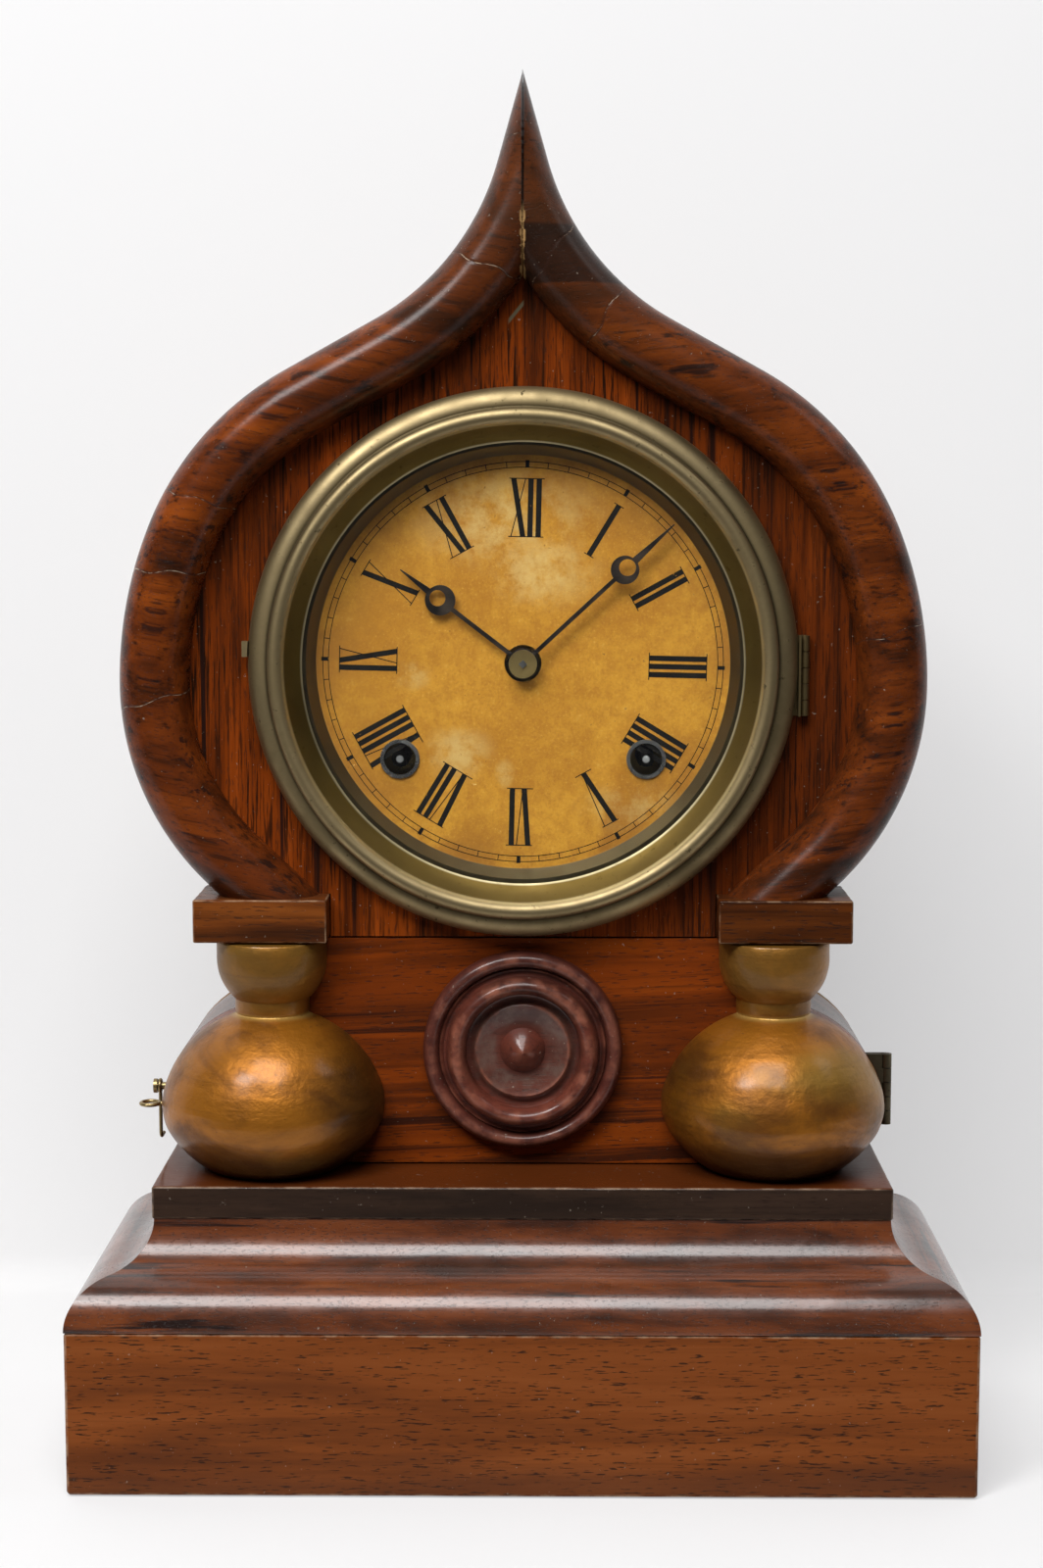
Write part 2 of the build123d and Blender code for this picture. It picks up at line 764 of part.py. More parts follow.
def bezel_hinge():
    x = bezel_radius + bezel_leaf_thickness + bezel_knuckle_radius
    y = face_y - fit_gap - bezel_knuckle_radius
    z_from = dial_z - bezel_hinge_drop - bezel_hinge_length / 2
    z_to = z_from + bezel_hinge_length
    panel_leaf = block(x - bezel_leaf_reach, x, face_y - bezel_leaf_thickness, face_y, z_from, z_to)
    ring_leaf = block(bezel_radius, bezel_radius + bezel_leaf_thickness,
                      y - bezel_leaf_height, y, z_from, z_to)
    ring_leaf += block(bezel_radius, x, y - bezel_leaf_thickness, y, z_from, z_to)
    return hinge(x, y, z_from, bezel_hinge_length, bezel_knuckle_radius, bezel_pin_radius,
                 panel_leaf, ring_leaf)


# Hands
def hand(length, ring_at, ring_radius, ring_hole, hub_radius, hole, angle):
    """A moon hand: hub, slender blade, ring with an off-centre hole, and a tapering point."""
    blade = make_face(outline([
        (-hand_blade_width / 2, 0), (hand_blade_width / 2, 0),
        (hand_blade_width / 2, ring_at), (-hand_blade_width / 2, ring_at)]))
    point = make_face(outline([
        (-hand_shoulder_width / 2, ring_at), (hand_shoulder_width / 2, ring_at),
        (hand_tip_width / 2, length), (-hand_tip_width / 2, length)]))
    face = blade + point + Circle(hub_radius) + Pos(0, ring_at) * Circle(ring_radius)
    face -= Pos(0, ring_at + ring_hole_shift) * Circle(ring_hole)
    face -= hole
    return Pos(0, dial_z) * Rot(0, 0, -angle) * face


def hands():
    hour_y = dial_face - hour_hand_front
    minute_y = dial_face - minute_hand_front
    hour_face = hand(hour_hand_length, hour_ring_at, hour_ring_radius, hour_ring_hole, hour_hub_radius,
                     Circle(hour_pipe_radius), hour_hand_angle)
    minute_face = hand(minute_hand_length, minute_ring_at, minute_ring_radius, minute_ring_hole,
                       minute_hub_radius, Rectangle(square_side, square_side), minute_hand_angle)
    square = Pos(0, dial_z) * Rot(0, 0, -minute_hand_angle) * Rectangle(square_side, square_side)
    bush = disc(0, dial_z, bush_radius, minute_y - bush_height, minute_y)
    bush -= prism(square, minute_y - overrun, minute_y + overrun)
    return {
        "hour_hand": prism(hour_face, hour_y, hour_y + hand_sheet),
        "minute_hand": prism(minute_face, minute_y, minute_y + hand_sheet),
        "hand_bush": bush,
    }


# Places of the arbors, each as x and z
def meet(first, first_distance, second, second_distance, side):
    """The point at two distances from two points, on one side of the line between them."""
    across = (second[0] - first[0], second[1] - first[1])
    span = math.hypot(*across)
    along = (first_distance ** 2 - second_distance ** 2 + span ** 2) / (2 * span)
    off = side * math.sqrt(first_distance ** 2 - along ** 2)
    unit = (across[0] / span, across[1] / span)
    return (first[0] + unit[0] * along - unit[1] * off, first[1] + unit[1] * along + unit[0] * off)


def spacing(teeth_one, teeth_two, module):
    return (teeth_one + teeth_two) / 2 * module


centre_at = (0, dial_z)
time_at = (winding_x, dial_z - winding_drop)
strike_at = (-winding_x, dial_z - winding_drop)
verge_at = (pendulum_x, dial_z + verge_rise)
escape_at = (pendulum_x, verge_at[1] - escape_drop)
great_spacing = spacing(great_teeth, great_pinion_teeth, great_module)
second_at = meet(time_at, great_spacing, centre_at,
                 spacing(second_teeth, centre_pinion_teeth, second_module), -1)
third_at = meet(centre_at, spacing(centre_teeth, third_pinion_teeth, centre_module), escape_at,
                spacing(third_teeth, escape_pinion_teeth, third_module), 1)
minute_at = (0, dial_z - spacing(cannon_teeth, minute_teeth, cannon_module))
hour_module = cannon_module * (cannon_teeth + minute_teeth) / (minute_pinion_teeth + hour_teeth)
pin_wheel_at = (strike_at[0] + great_spacing * cos(strike_angle),
                strike_at[1] + great_spacing * sin(strike_angle))
fly_at = (pin_wheel_at[0], pin_wheel_at[1] + spacing(second_teeth, fly_pinion_teeth, second_module))
hammer_at = (-hammer_x, dial_z + hammer_rise)
pillars_at = [(sign * x, z) for sign in (-1, 1) for x, z in (
    (pillar_upper_x, dial_z + pillar_upper_rise), (pillar_lower_x, dial_z - pillar_lower_drop))]


def mesh_phase(first, first_teeth, first_phase, second, second_teeth):
    """Angle of a tooth on the second wheel that puts a gap of it on the first wheel's tooth."""
    line = math.degrees(math.atan2(second[1] - first[1], second[0] - first[0]))
    pitch = 360 / first_teeth
    ahead = (first_phase - line + pitch / 2) % pitch - pitch / 2
    return line + 180 - ahead * first_teeth / second_teeth + 180 / second_teeth


# Wheels
def tooth_ring(teeth, points_of_tooth):
    """A closed outline made by turning one tooth's points round the wheel."""
    points = []
    for tooth in range(teeth):
        for radius, share in points_of_tooth:
            angle = 360 / teeth * (tooth + share)
            points.append((radius * cos(angle), radius * sin(angle)))
    return make_face(outline(points))


def wheel(teeth, module, at, y_from, thickness, phase, bore=0):
    """A toothed wheel with straight-sided teeth, crossed out into spokes where there is room."""
    pitch = teeth * module / 2
    tip = pitch + addendum_share * module
    root = pitch - dedendum_share * module
    face = tooth_ring(teeth, [(root, -tooth_root_share), (tip, -tooth_tip_share),
                              (tip, tooth_tip_share), (root, tooth_root_share)])
    rim = root - wheel_rim_teeth * module
    if rim > hub_radius * 2:
        window = Circle(rim) - Circle(hub_radius * 1.5)
        for spoke in range(spoke_count // 2):
            window -= Rot(0, 0, spoke * 360 / spoke_count) * Rectangle(2 * tip, spoke_width)
        face -= window
    if bore:
        face -= Circle(bore)
    return prism(Pos(*at) * Rot(0, 0, phase) * face, y_from, y_from + thickness)


def lantern(pins, module, at, wheel_y, thickness, phase):
    """A lantern pinion: wire pins between two round shrouds that stand clear of the wheel between them."""
    pitch = pins * module / 2
    pin = pin_radius_share * module
    shroud = pitch + shroud_share * module
    y_from = wheel_y - fit_gap - shroud_thickness
    length = thickness + 2 * (fit_gap + shroud_thickness)
    body = disc(*at, shroud, y_from, y_from + shroud_thickness)
    body += disc(*at, shroud, y_from + length - shroud_thickness, y_from + length)
    for step in range(pins):
        angle = phase + 360 / pins * step
        body += disc(at[0] + pitch * cos(angle), at[1] + pitch * sin(angle), pin, y_from, y_from + length)
    return body


def arbor(at):
    """A steel arbor between the plates, with a pivot in each plate."""
    body = disc(*at, arbor_radius, inner_front + fit_gap, inner_back - fit_gap)
    return body + disc(*at, pivot_radius, front_plate, back_plate_end)


def depth(value):
    return inner_front + value


great_phase = 0
second_pinion_phase = mesh_phase(time_at, great_teeth, great_phase, second_at, great_pinion_teeth)
second_phase = 0
centre_pinion_phase = mesh_phase(second_at, second_teeth, second_phase, centre_at, centre_pinion_teeth)
centre_phase = 0
third_pinion_phase = mesh_phase(centre_at, centre_teeth, centre_phase, third_at, third_pinion_teeth)
third_phase = 0
escape_pinion_phase = mesh_phase(third_at, third_teeth, third_phase, escape_at, escape_pinion_teeth)
cannon_phase = 0
minute_phase = mesh_phase(centre_at, cannon_teeth, cannon_phase, minute_at, minute_teeth)
minute_pinion_phase = 0
hour_phase = mesh_phase(minute_at, minute_pinion_teeth, minute_pinion_phase, centre_at, hour_teeth)
strike_pinion_phase = mesh_phase(strike_at, great_teeth, great_phase, pin_wheel_at, great_pinion_teeth)
fly_pinion_phase = mesh_phase(pin_wheel_at, second_teeth, second_phase, fly_at, fly_pinion_teeth)


def going_train():
    second = arbor(second_at)
    second += lantern(great_pinion_teeth, great_module, second_at, depth(great_depth), great_thickness,
                      second_pinion_phase)
    second += wheel(second_teeth, second_module, second_at, depth(centre_pinion_depth), wheel_thickness,
                    second_phase)
    bore = centre_arbor_radius + running_gap
    centre = wheel(centre_pinion_teeth, second_module, centre_at, depth(centre_pinion_depth),
                   wheel_thickness, centre_pinion_phase, bore)
    centre += wheel(centre_teeth, centre_module, centre_at, depth(centre_wheel_depth), wheel_thickness,
                    centre_phase, bore)
    tube = disc(*centre_at, hub_radius, depth(centre_pinion_depth), depth(centre_wheel_depth))
    centre += tube - disc(*centre_at, bore, inner_front, inner_back)
    third = arbor(third_at)
    third += lantern(third_pinion_teeth, centre_module, third_at, depth(centre_wheel_depth), wheel_thickness,
                     third_pinion_phase)
    third += wheel(third_teeth, third_module, third_at, depth(third_wheel_depth), wheel_thickness,
                   third_phase)
    escape = arbor(escape_at)
    escape += lantern(escape_pinion_teeth, third_module, escape_at, depth(third_wheel_depth), wheel_thickness,
                      escape_pinion_phase)
    root = escape_radius - escape_tooth_depth
    teeth = tooth_ring(escape_teeth, [(root, 0), (escape_radius, escape_lean_share),
                                      (escape_radius, escape_lean_share + tooth_tip_share),
                                      (root, escape_lean_share + tooth_root_share)])
    crossing = Circle(root - escape_tooth_depth) - Circle(hub_radius)
    crossing -= Rectangle(2 * root, spoke_width) + Rectangle(spoke_width, 2 * root)
    face = Pos(*escape_at) * (teeth - crossing)
    escape += prism(face, depth(escape_depth), depth(escape_depth) + wheel_thickness)
    return {"second_wheel": second, "centre_wheel": centre, "third_wheel": third, "escape_wheel": escape}


def motion_work():
    """Centre arbor with the cannon pinion, the minute wheel on its stud, and the hour wheel's pipe."""
    hand_back = dial_face - minute_hand_front + hand_sheet
    shaft = disc(*centre_at, centre_arbor_radius, hand_back, inner_back - fit_gap)
    shaft += disc(*centre_at, pivot_radius, inner_back - fit_gap, back_plate_end)
    square = Pos(*centre_at) * Rot(0, 0, -minute_hand_angle) * Rectangle(
        square_side - 2 * running_gap, square_side - 2 * running_gap)
    tip = dial_face - minute_hand_front - bush_height - arbor_end
    shaft += prism(square, tip, dial_face - minute_hand_front + hand_sheet)
    shaft += wheel(cannon_teeth, cannon_module, centre_at, depth(cannon_depth), wheel_thickness, cannon_phase)
    bore = minute_stud_radius + running_gap
    minute = wheel(minute_teeth, cannon_module, minute_at, depth(cannon_depth), wheel_thickness, minute_phase,
                   bore)
    minute += wheel(minute_pinion_teeth, hour_module, minute_at, depth(hour_wheel_depth),
                    cannon_depth - hour_wheel_depth, minute_pinion_phase, bore)
    pipe_bore = centre_arbor_radius + running_gap
    hour = wheel(hour_teeth, hour_module, centre_at, depth(hour_wheel_depth), wheel_thickness, hour_phase,
                 pipe_bore)
    pipe = disc(*centre_at, hour_pipe_radius - running_gap, dial_face - hour_hand_front - fit_gap,
                depth(hour_wheel_depth))
    hour += pipe - disc(*centre_at, pipe_bore, face_y, inner_back)
    return {"centre_arbor": shaft, "minute_wheel": minute, "hour_wheel": hour}


def winding_side(at, name):
    """One winding arbor with its ratchet, and its great wheel with a click."""
    shaft = disc(*at, winding_radius, dial_face + winding_square, back_plate_end)
    square = Pos(*at) * Rectangle(winding_square, winding_square)
    shaft += prism(square, dial_face - winding_recess, dial_face + winding_square)
    root = ratchet_radius - ratchet_tooth_depth
    ratchet = tooth_ring(ratchet_teeth, [(root, 0), (ratchet_radius, 0)])
    y_ratchet = depth(ratchet_depth)
    shaft += prism(Pos(*at) * ratchet, y_ratchet, y_ratchet + ratchet_thickness)
    bore = winding_radius + running_gap
    great = wheel(great_teeth, great_module, at, depth(great_depth), great_thickness, great_phase, bore)
    great += disc(*at, great_hub_radius, depth(great_depth), depth(great_depth) + great_thickness)
    great -= disc(*at, bore, inner_front, inner_back)
    click_at = (at[0], at[1] + ratchet_radius + fit_gap + click_radius)
    click = disc(*click_at, click_radius, depth(great_depth), y_ratchet + ratchet_thickness)
    tongue = Pos(click_at[0] + click_reach / 2, click_at[1]) * Rectangle(click_reach, click_width)
    click += prism(tongue, y_ratchet, y_ratchet + ratchet_thickness)
    bridge_from = click_at[1] - click_width / 2
    bridge_to = at[1] + great_teeth * great_module / 2 - 3 * great_module
    bridge = rectangle(click_at[0] - spoke_width / 2, click_at[0] + spoke_width / 2, bridge_from, bridge_to)
    great += click + prism(bridge, depth(great_depth), depth(great_depth) + great_thickness)
    return {f"{name}_winding_arbor": shaft, f"{name}_great_wheel": great}


def spiral_arcs(at, inner, step, half_turns, offset):
    """Half-turn arcs about two centres a step apart, each a step wider than the last."""
    arcs = []
    for turn in range(half_turns):
        middle = (at[0] + step * (turn % 2), at[1])
        arcs.append(CenterArc(middle, inner + step * turn + offset, 180 * (turn % 2), 180))
    return arcs


def mainspring(at):
    """A spiral ribbon round the winding arbor."""
    half = spring_sheet / 2
    outer = spiral_arcs(at, spring_inner_radius, spring_step, spring_half_turn_count, half)
    inner = spiral_arcs(at, spring_inner_radius, spring_step, spring_half_turn_count, -half)
    ends = [Line(inner[0] @ 0, outer[0] @ 0), Line(inner[-1] @ 1, outer[-1] @ 1)]
    ribbon = make_face(outer + inner + ends)
    return prism(ribbon, depth(spring_depth), depth(spring_depth) + spring_length)


def strike_train():
    pin_wheel = arbor(pin_wheel_at)
    pin_wheel += lantern(great_pinion_teeth, great_module, pin_wheel_at, depth(great_depth), great_thickness,
                         strike_pinion_phase)
    wheel_y = depth(centre_pinion_depth)
    pin_wheel += wheel(second_teeth, second_module, pin_wheel_at, wheel_y, wheel_thickness, second_phase)
    band = Circle(lift_pin_circle + 2 * lift_pin_radius) - Circle(lift_pin_circle - 2 * lift_pin_radius)
    pin_wheel += prism(Pos(*pin_wheel_at) * band, wheel_y, wheel_y + wheel_thickness)
    for step in range(lift_pin_count):
        angle = 360 / lift_pin_count * step
        pin_wheel += disc(pin_wheel_at[0] + lift_pin_circle * cos(angle),
                          pin_wheel_at[1] + lift_pin_circle * sin(angle),
                          lift_pin_radius, wheel_y, wheel_y + wheel_thickness + lift_pin_length)
    fly = arbor(fly_at)
    fly += lantern(fly_pinion_teeth, second_module, fly_at, wheel_y, wheel_thickness, fly_pinion_phase)
    vane = rectangle(fly_at[0] - fly_width / 2, fly_at[0] + fly_width / 2,
                     fly_at[1] - fly_sheet / 2, fly_at[1] + fly_sheet / 2)
    fly += prism(vane, depth(fly_depth), depth(fly_depth) + fly_length)
    return {"strike_pin_wheel": pin_wheel, "strike_fly": fly}


# Plates and pillars
def plates():
    low = dial_z - plate_below
    high = dial_z + plate_above
    sheet = Pos(0, (low + high) / 2) * RectangleRounded(2 * plate_half_width, high - low, plate_corner)
    for at in (second_at, third_at, escape_at, pin_wheel_at, fly_at, verge_at, hammer_at):
        sheet -= Pos(*at) * Circle(pivot_radius + running_gap)
    for at in (time_at, strike_at):
        sheet -= Pos(*at) * Circle(winding_radius + running_gap)
    for at in pillars_at:
        sheet -= Pos(*at) * Circle(pillar_neck)
    front = prism(sheet - Pos(*centre_at) * Circle(hour_pipe_radius), front_plate, inner_front)
    back = prism(sheet - Pos(*centre_at) * Circle(pivot_radius + running_gap), inner_back, back_plate_end)
    front += disc(*minute_at, minute_stud_radius, inner_front, depth(cannon_depth + wheel_thickness))
    stud_z = verge_at[1] + suspension_rise
    front += block(pendulum_x - suspension_width / 2, pendulum_x + suspension_width / 2,
                   front_plate - pendulum_front - ribbon_width / 2, front_plate,
                   stud_z, stud_z + suspension_height)
    pillars = []
    for at in pillars_at:
        post = disc(*at, pillar_radius, inner_front, inner_back)
        post += disc(*at, pillar_neck, front_plate, back_plate_end)
        post += disc(*at, pillar_nut_radius, front_plate - pillar_head_height, front_plate)
        post += disc(*at, pillar_radius, back_plate_end, board_front)
        pillars.append(post)
    return {"front_plate": front, "back_plate": back, "plate_pillars": Compound(children=pillars)}


# Escapement and pendulum
def escapement():
    """Verge over the escape wheel, with a crutch wire that forks round the pendulum rod."""
    x, z = verge_at
    verge = disc(x, z, arbor_radius, inner_front + fit_gap, inner_back - fit_gap)
    verge += disc(x, z, pivot_radius, front_plate - crutch_front - crutch_wire, back_plate_end)
    strip_z = escape_at[1] + escape_radius + pallet_gap + pallet_length - verge_width
    strip = rectangle(x - verge_arm, x + verge_arm, strip_z, strip_z + verge_width)
    strip += rectangle(x - verge_width / 2, x + verge_width / 2, strip_z, z)
    pallet_low = escape_at[1] + math.sqrt((escape_radius + pallet_gap) ** 2 - (verge_arm - verge_width) ** 2)
    for sign in (-1, 1):
        outer = x + sign * verge_arm
        inner = x + sign * (verge_arm - verge_width)
        strip += rectangle(min(outer, inner), max(outer, inner), pallet_low, strip_z + verge_width)
    verge += prism(strip, depth(escape_depth), depth(escape_depth) + wheel_thickness)
    wire_y = front_plate - crutch_front
    low = z - crutch_length
    wire = Pos(x, wire_y, (z + low) / 2) * Cylinder(crutch_wire, crutch_length)
    wire += disc(x, z, crutch_collet, wire_y - crutch_fork, wire_y + crutch_fork)
    slot = rod_radius + fit_gap
    prong_front = front_plate - pendulum_front - rod_radius - crutch_fork
    fork = block(x - slot - 2 * crutch_fork, x + slot + 2 * crutch_fork, prong_front, wire_y + crutch_fork,
                 low - crutch_fork, low + crutch_fork)
    wire += fork - block(x - slot, x + slot, prong_front, wire_y - crutch_fork, low - overrun, low + overrun)
    rod_y = front_plate - pendulum_front
    top = z + suspension_rise - fit_gap
    bob_z = z - bob_drop
    nut_top = bob_z - bob_radius
    rod = block(x - ribbon_sheet / 2, x + ribbon_sheet / 2, rod_y - ribbon_width / 2,
                rod_y + ribbon_width / 2, top - ribbon_length, top)
    rod_top = top - ribbon_length + rod_radius
    rod_low = nut_top - nut_height - nut_tail
    rod += Pos(x, rod_y, (rod_top + rod_low) / 2) * Cylinder(rod_radius, rod_top - rod_low)
    rod += Pos(x, rod_y, nut_top - nut_height / 2) * Cylinder(nut_radius, nut_height)
    side = bob_edge + crown(bob_radius, bob_half_thickness - bob_edge, bob_radius / 2)
    face_arc = ThreePointArc((bob_radius, rod_y - bob_edge), (bob_radius / 2, rod_y - side),
                             (0, rod_y - bob_half_thickness))
    rear_arc = ThreePointArc((0, rod_y + bob_half_thickness), (bob_radius / 2, rod_y + side),
                             (bob_radius, rod_y + bob_edge))
    bob = turned([face_arc, rear_arc, Line(face_arc @ 1, rear_arc @ 0), Line(rear_arc @ 1, face_arc @ 0)],
                 x, bob_z)
    bob -= Pos(x, rod_y, bob_z) * Cylinder(rod_radius + running_gap, 2 * bob_radius + overrun)
    return {"verge": verge + wire, "pendulum_rod": rod, "pendulum_bob": bob}


# Gong and hammer
def gong():
    """A flat coil of steel wire held at its inner end by an iron stand on the back board."""
    at = (0, platform_top + gong_rise)
    arcs = spiral_arcs(at, gong_inner_radius, gong_step, gong_half_turn_count, 0)
    start = arcs[0] @ 0
    path = front_plane(gong_y) * Wire(arcs)
    coil = sweep(Plane(origin=path @ 0, z_dir=path % 0) * Circle(gong_wire), path=path)
    stand = turned(outline([
        (0, gong_y - gong_wire), (gong_boss_radius, gong_y - gong_wire),
        (gong_boss_radius, board_front - gong_stand_height), (gong_stand_radius, board_front),
        (0, board_front)]), *at)
    arm_from = gong_y + gong_wire
    arm_back = arm_from + 2 * gong_wire
    arm = block(0, start.X + gong_wire, arm_from, arm_back, at[1] - gong_wire, at[1] + gong_wire)
    print("gong: least gap between turns", round(2 * gong_step - 2 * gong_wire, 3))
    print("mainspring: least gap between turns", round(2 * spring_step - spring_sheet, 3))
    springs = Compound(children=[mainspring(time_at), mainspring(strike_at)])
    return {"gong_coil": coil, "gong_stand": stand + arm, "mainsprings": springs}


def hammer():
    """Hammer on its own arbor, a wire reaching down to the gong, and a tail for the lifting pins."""
    x, z = hammer_at
    coil_radius = gong_inner_radius + gong_step * (gong_half_turn_count - 2) + gong_wire
    away = coil_radius + hammer_gap + hammer_head_radius
    head_x = away * cos(hammer_angle)
    head_z = platform_top + gong_rise + away * sin(hammer_angle)
    body = disc(x, z, arbor_radius, inner_front + fit_gap, inner_back - fit_gap)
    body += disc(x, z, pivot_radius, front_plate, hammer_y + 2 * hammer_wire)
    length = math.hypot(head_x - x, head_z - z)
    lean = math.degrees(math.atan2(head_x - x, z - head_z))
    body += Pos((x + head_x) / 2, hammer_y, (z + head_z) / 2) * Rot(0, -lean, 0) * Cylinder(
        hammer_wire, length)
    body += disc(head_x, head_z, hammer_head_radius, hammer_y - hammer_head_length / 2,
                 hammer_y + hammer_head_length / 2)
    tail_y = depth(centre_pinion_depth) + wheel_thickness + fit_gap
    tail = rectangle(x, x + hammer_tail, z - arbor_radius, z + arbor_radius)
    body += prism(tail, tail_y, tail_y + lift_pin_length)
    return {"hammer": body}


# The whole clock
nodes = {}
for group in (base_boards(), ogee_moulding(), platform(), case_sides(), back_board(), dial_panel(),
              onion_mouldings(), cap_blocks(), door(), hook_parts(), dial(), bezel(), hands(), plates(),
              going_train(), motion_work(), winding_side(time_at, "time"), winding_side(strike_at, "strike"),
              strike_train(), escapement(), gong(), hammer()):
    nodes.update(group)
nodes["door_hinge_case_leaf"], nodes["door_hinge_door_leaf"] = door_hinge()
nodes["bezel_hinge_panel_leaf"], nodes["bezel_hinge_ring_leaf"] = bezel_hinge()

for name, solid in nodes.items():
    export_step(solid, f"parts/{name}.step")
print(len(nodes), "nodes")
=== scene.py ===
import math
import bmesh
import bpy
import numpy as np
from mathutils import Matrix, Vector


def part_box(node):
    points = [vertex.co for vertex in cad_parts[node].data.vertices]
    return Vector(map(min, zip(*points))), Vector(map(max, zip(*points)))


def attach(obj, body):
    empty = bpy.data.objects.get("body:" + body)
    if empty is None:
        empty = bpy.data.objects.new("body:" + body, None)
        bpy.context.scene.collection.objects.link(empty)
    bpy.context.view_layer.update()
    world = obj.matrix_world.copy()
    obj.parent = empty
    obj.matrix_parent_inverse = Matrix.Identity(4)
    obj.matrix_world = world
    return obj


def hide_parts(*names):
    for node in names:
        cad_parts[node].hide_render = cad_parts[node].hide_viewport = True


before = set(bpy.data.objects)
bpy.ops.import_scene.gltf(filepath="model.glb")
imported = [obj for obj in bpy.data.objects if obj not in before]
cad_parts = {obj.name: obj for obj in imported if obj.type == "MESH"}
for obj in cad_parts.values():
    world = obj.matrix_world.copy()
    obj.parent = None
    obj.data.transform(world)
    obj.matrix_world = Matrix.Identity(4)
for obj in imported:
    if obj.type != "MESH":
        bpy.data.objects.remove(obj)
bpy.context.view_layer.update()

# Base box: three boards under a plain brown veneer with open pores, mitred and glued round a softwood bottom.
# The arrises are rubbed soft, and the veneer is darker towards the lowest edge.
MM = 0.001


def grid_faces(rows, columns, wrap):
    """Quads of a grid: each cell joins a point to the next in its row and to the same two in the next row."""
    row = np.arange(rows - 1)[:, None] * columns
    column = np.arange(columns if wrap else columns - 1)[None, :]
    beside = (column + 1) % columns
    return np.stack([row + column, row + beside, row + columns + beside, row + columns + column], -1).reshape(-1, 4)


def piece(name, points, faces, body, stands_for=(), marks=None, crease=40):
    """Puts points and quads into a smooth mesh with its doubles merged and its faces turned outwards."""
    mesh = bpy.data.meshes.new(name)
    points = np.asarray(points, np.float32).reshape(-1, 3)
    faces = np.asarray(faces, np.int32).reshape(-1, 4)
    mesh.vertices.add(len(points))
    mesh.vertices.foreach_set("co", points.ravel())
    mesh.loops.add(faces.size)
    mesh.loops.foreach_set("vertex_index", faces.ravel())
    mesh.polygons.add(len(faces))
    mesh.polygons.foreach_set("loop_start", np.arange(0, faces.size, 4, dtype=np.int32))
    mesh.update(calc_edges=True)
    for mark, values in (marks or {}).items():
        layer = mesh.attributes.new(mark, "FLOAT", "POINT")
        layer.data.foreach_set("value", np.asarray(values, np.float32).ravel())
    work = bmesh.new()
    work.from_mesh(mesh)
    bmesh.ops.remove_doubles(work, verts=work.verts, dist=2e-6)
    bmesh.ops.dissolve_degenerate(work, edges=work.edges, dist=1e-7)
    bmesh.ops.recalc_face_normals(work, faces=work.faces)
    work.to_mesh(mesh)
    work.free()
    mesh.shade_smooth()
    mesh.set_sharp_from_angle(angle=math.radians(crease))
    thing = bpy.data.objects.new(name, mesh)
    bpy.context.scene.collection.objects.link(thing)
    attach(thing, body)
    if stands_for:
        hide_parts(*stands_for)
    return thing


def ripple(points, sizes, depth):
    """A slow uneven wave over points: sines of three slanting directions, added."""
    x, y, z = (points[..., k] / sizes for k in range(3))
    return depth * (np.sin(x * 1.7 + z * 2.3 + y) + np.sin(x * 2.9 - z * 1.3 + 2 * y + 1.7)
                    + np.sin(x * 0.8 + z * 3.7 - y * 1.4 + 4.1)) / 3


def soft_board(low, high, radius, cells=26):
    """A board with rounded arrises: the sum of a smaller box and a ball. Rings of the ball's latitude are
    carried round the box's plan, and the mark arris is one where the ball's surface is at 45 degrees."""
    low, high = np.array(low), np.array(high)
    inner_low, inner_high = low + radius, high - radius
    turn = np.linspace(0, np.pi / 2, 7)
    corners = [(inner_high[0], inner_high[1]), (inner_low[0], inner_high[1]),
               (inner_low[0], inner_low[1]), (inner_high[0], inner_low[1])]
    foot, around, worn = [], [], []
    for k, corner in enumerate(corners):
        angle = turn + k * np.pi / 2
        following = np.array(corners[(k + 1) % 4])
        share = np.concatenate([[0.004], np.linspace(0, 1, cells)[1:-1], [0.996]])[:, None]
        side = np.array(corner) * (1 - share) + following * share
        foot += [np.repeat([corner], len(turn), 0), side]
        around += [np.stack([np.cos(angle), np.sin(angle)], -1),
                   np.repeat([[np.cos(angle[-1]), np.sin(angle[-1])]], len(share), 0)]
        worn += [np.abs(np.sin(2 * turn)), np.zeros(len(share))]
    foot, around, worn = (np.concatenate(part) for part in (foot, around, worn))
    middle = (inner_low + inner_high)[:2] / 2
    tilt = np.linspace(-np.pi / 2, np.pi / 2, 13)
    rings, marks = [], []
    for share in (0, 0.5, 0.97, 0.992):
        rings.append(np.c_[middle + (foot - middle) * share, np.full(len(foot), low[2])])
        marks.append(np.zeros(len(foot)))
    for t in tilt:
        level = inner_low[2] if t <= 0 else inner_high[2]
        rings.append(np.c_[foot + radius * np.cos(t) * around, np.full(len(foot), level + radius * np.sin(t))])
        marks.append(np.maximum(np.abs(np.sin(2 * t)), worn * np.cos(t)))
        if abs(t) < 1e-9:
            for share in (0.01, 0.25, 0.5, 0.75, 0.99):
                height = inner_low[2] * (1 - share) + inner_high[2] * share
                rings.append(np.c_[foot + radius * around, np.full(len(foot), height)])
                marks.append(worn)
            rings.append(np.c_[foot + radius * around, np.full(len(foot), inner_high[2])])
            marks.append(worn)
    for share in (0.992, 0.97, 0.5, 0):
        rings.append(np.c_[middle + (foot - middle) * share, np.full(len(foot), high[2])])
        marks.append(np.zeros(len(foot)))
    return np.array(rings), np.array(marks)


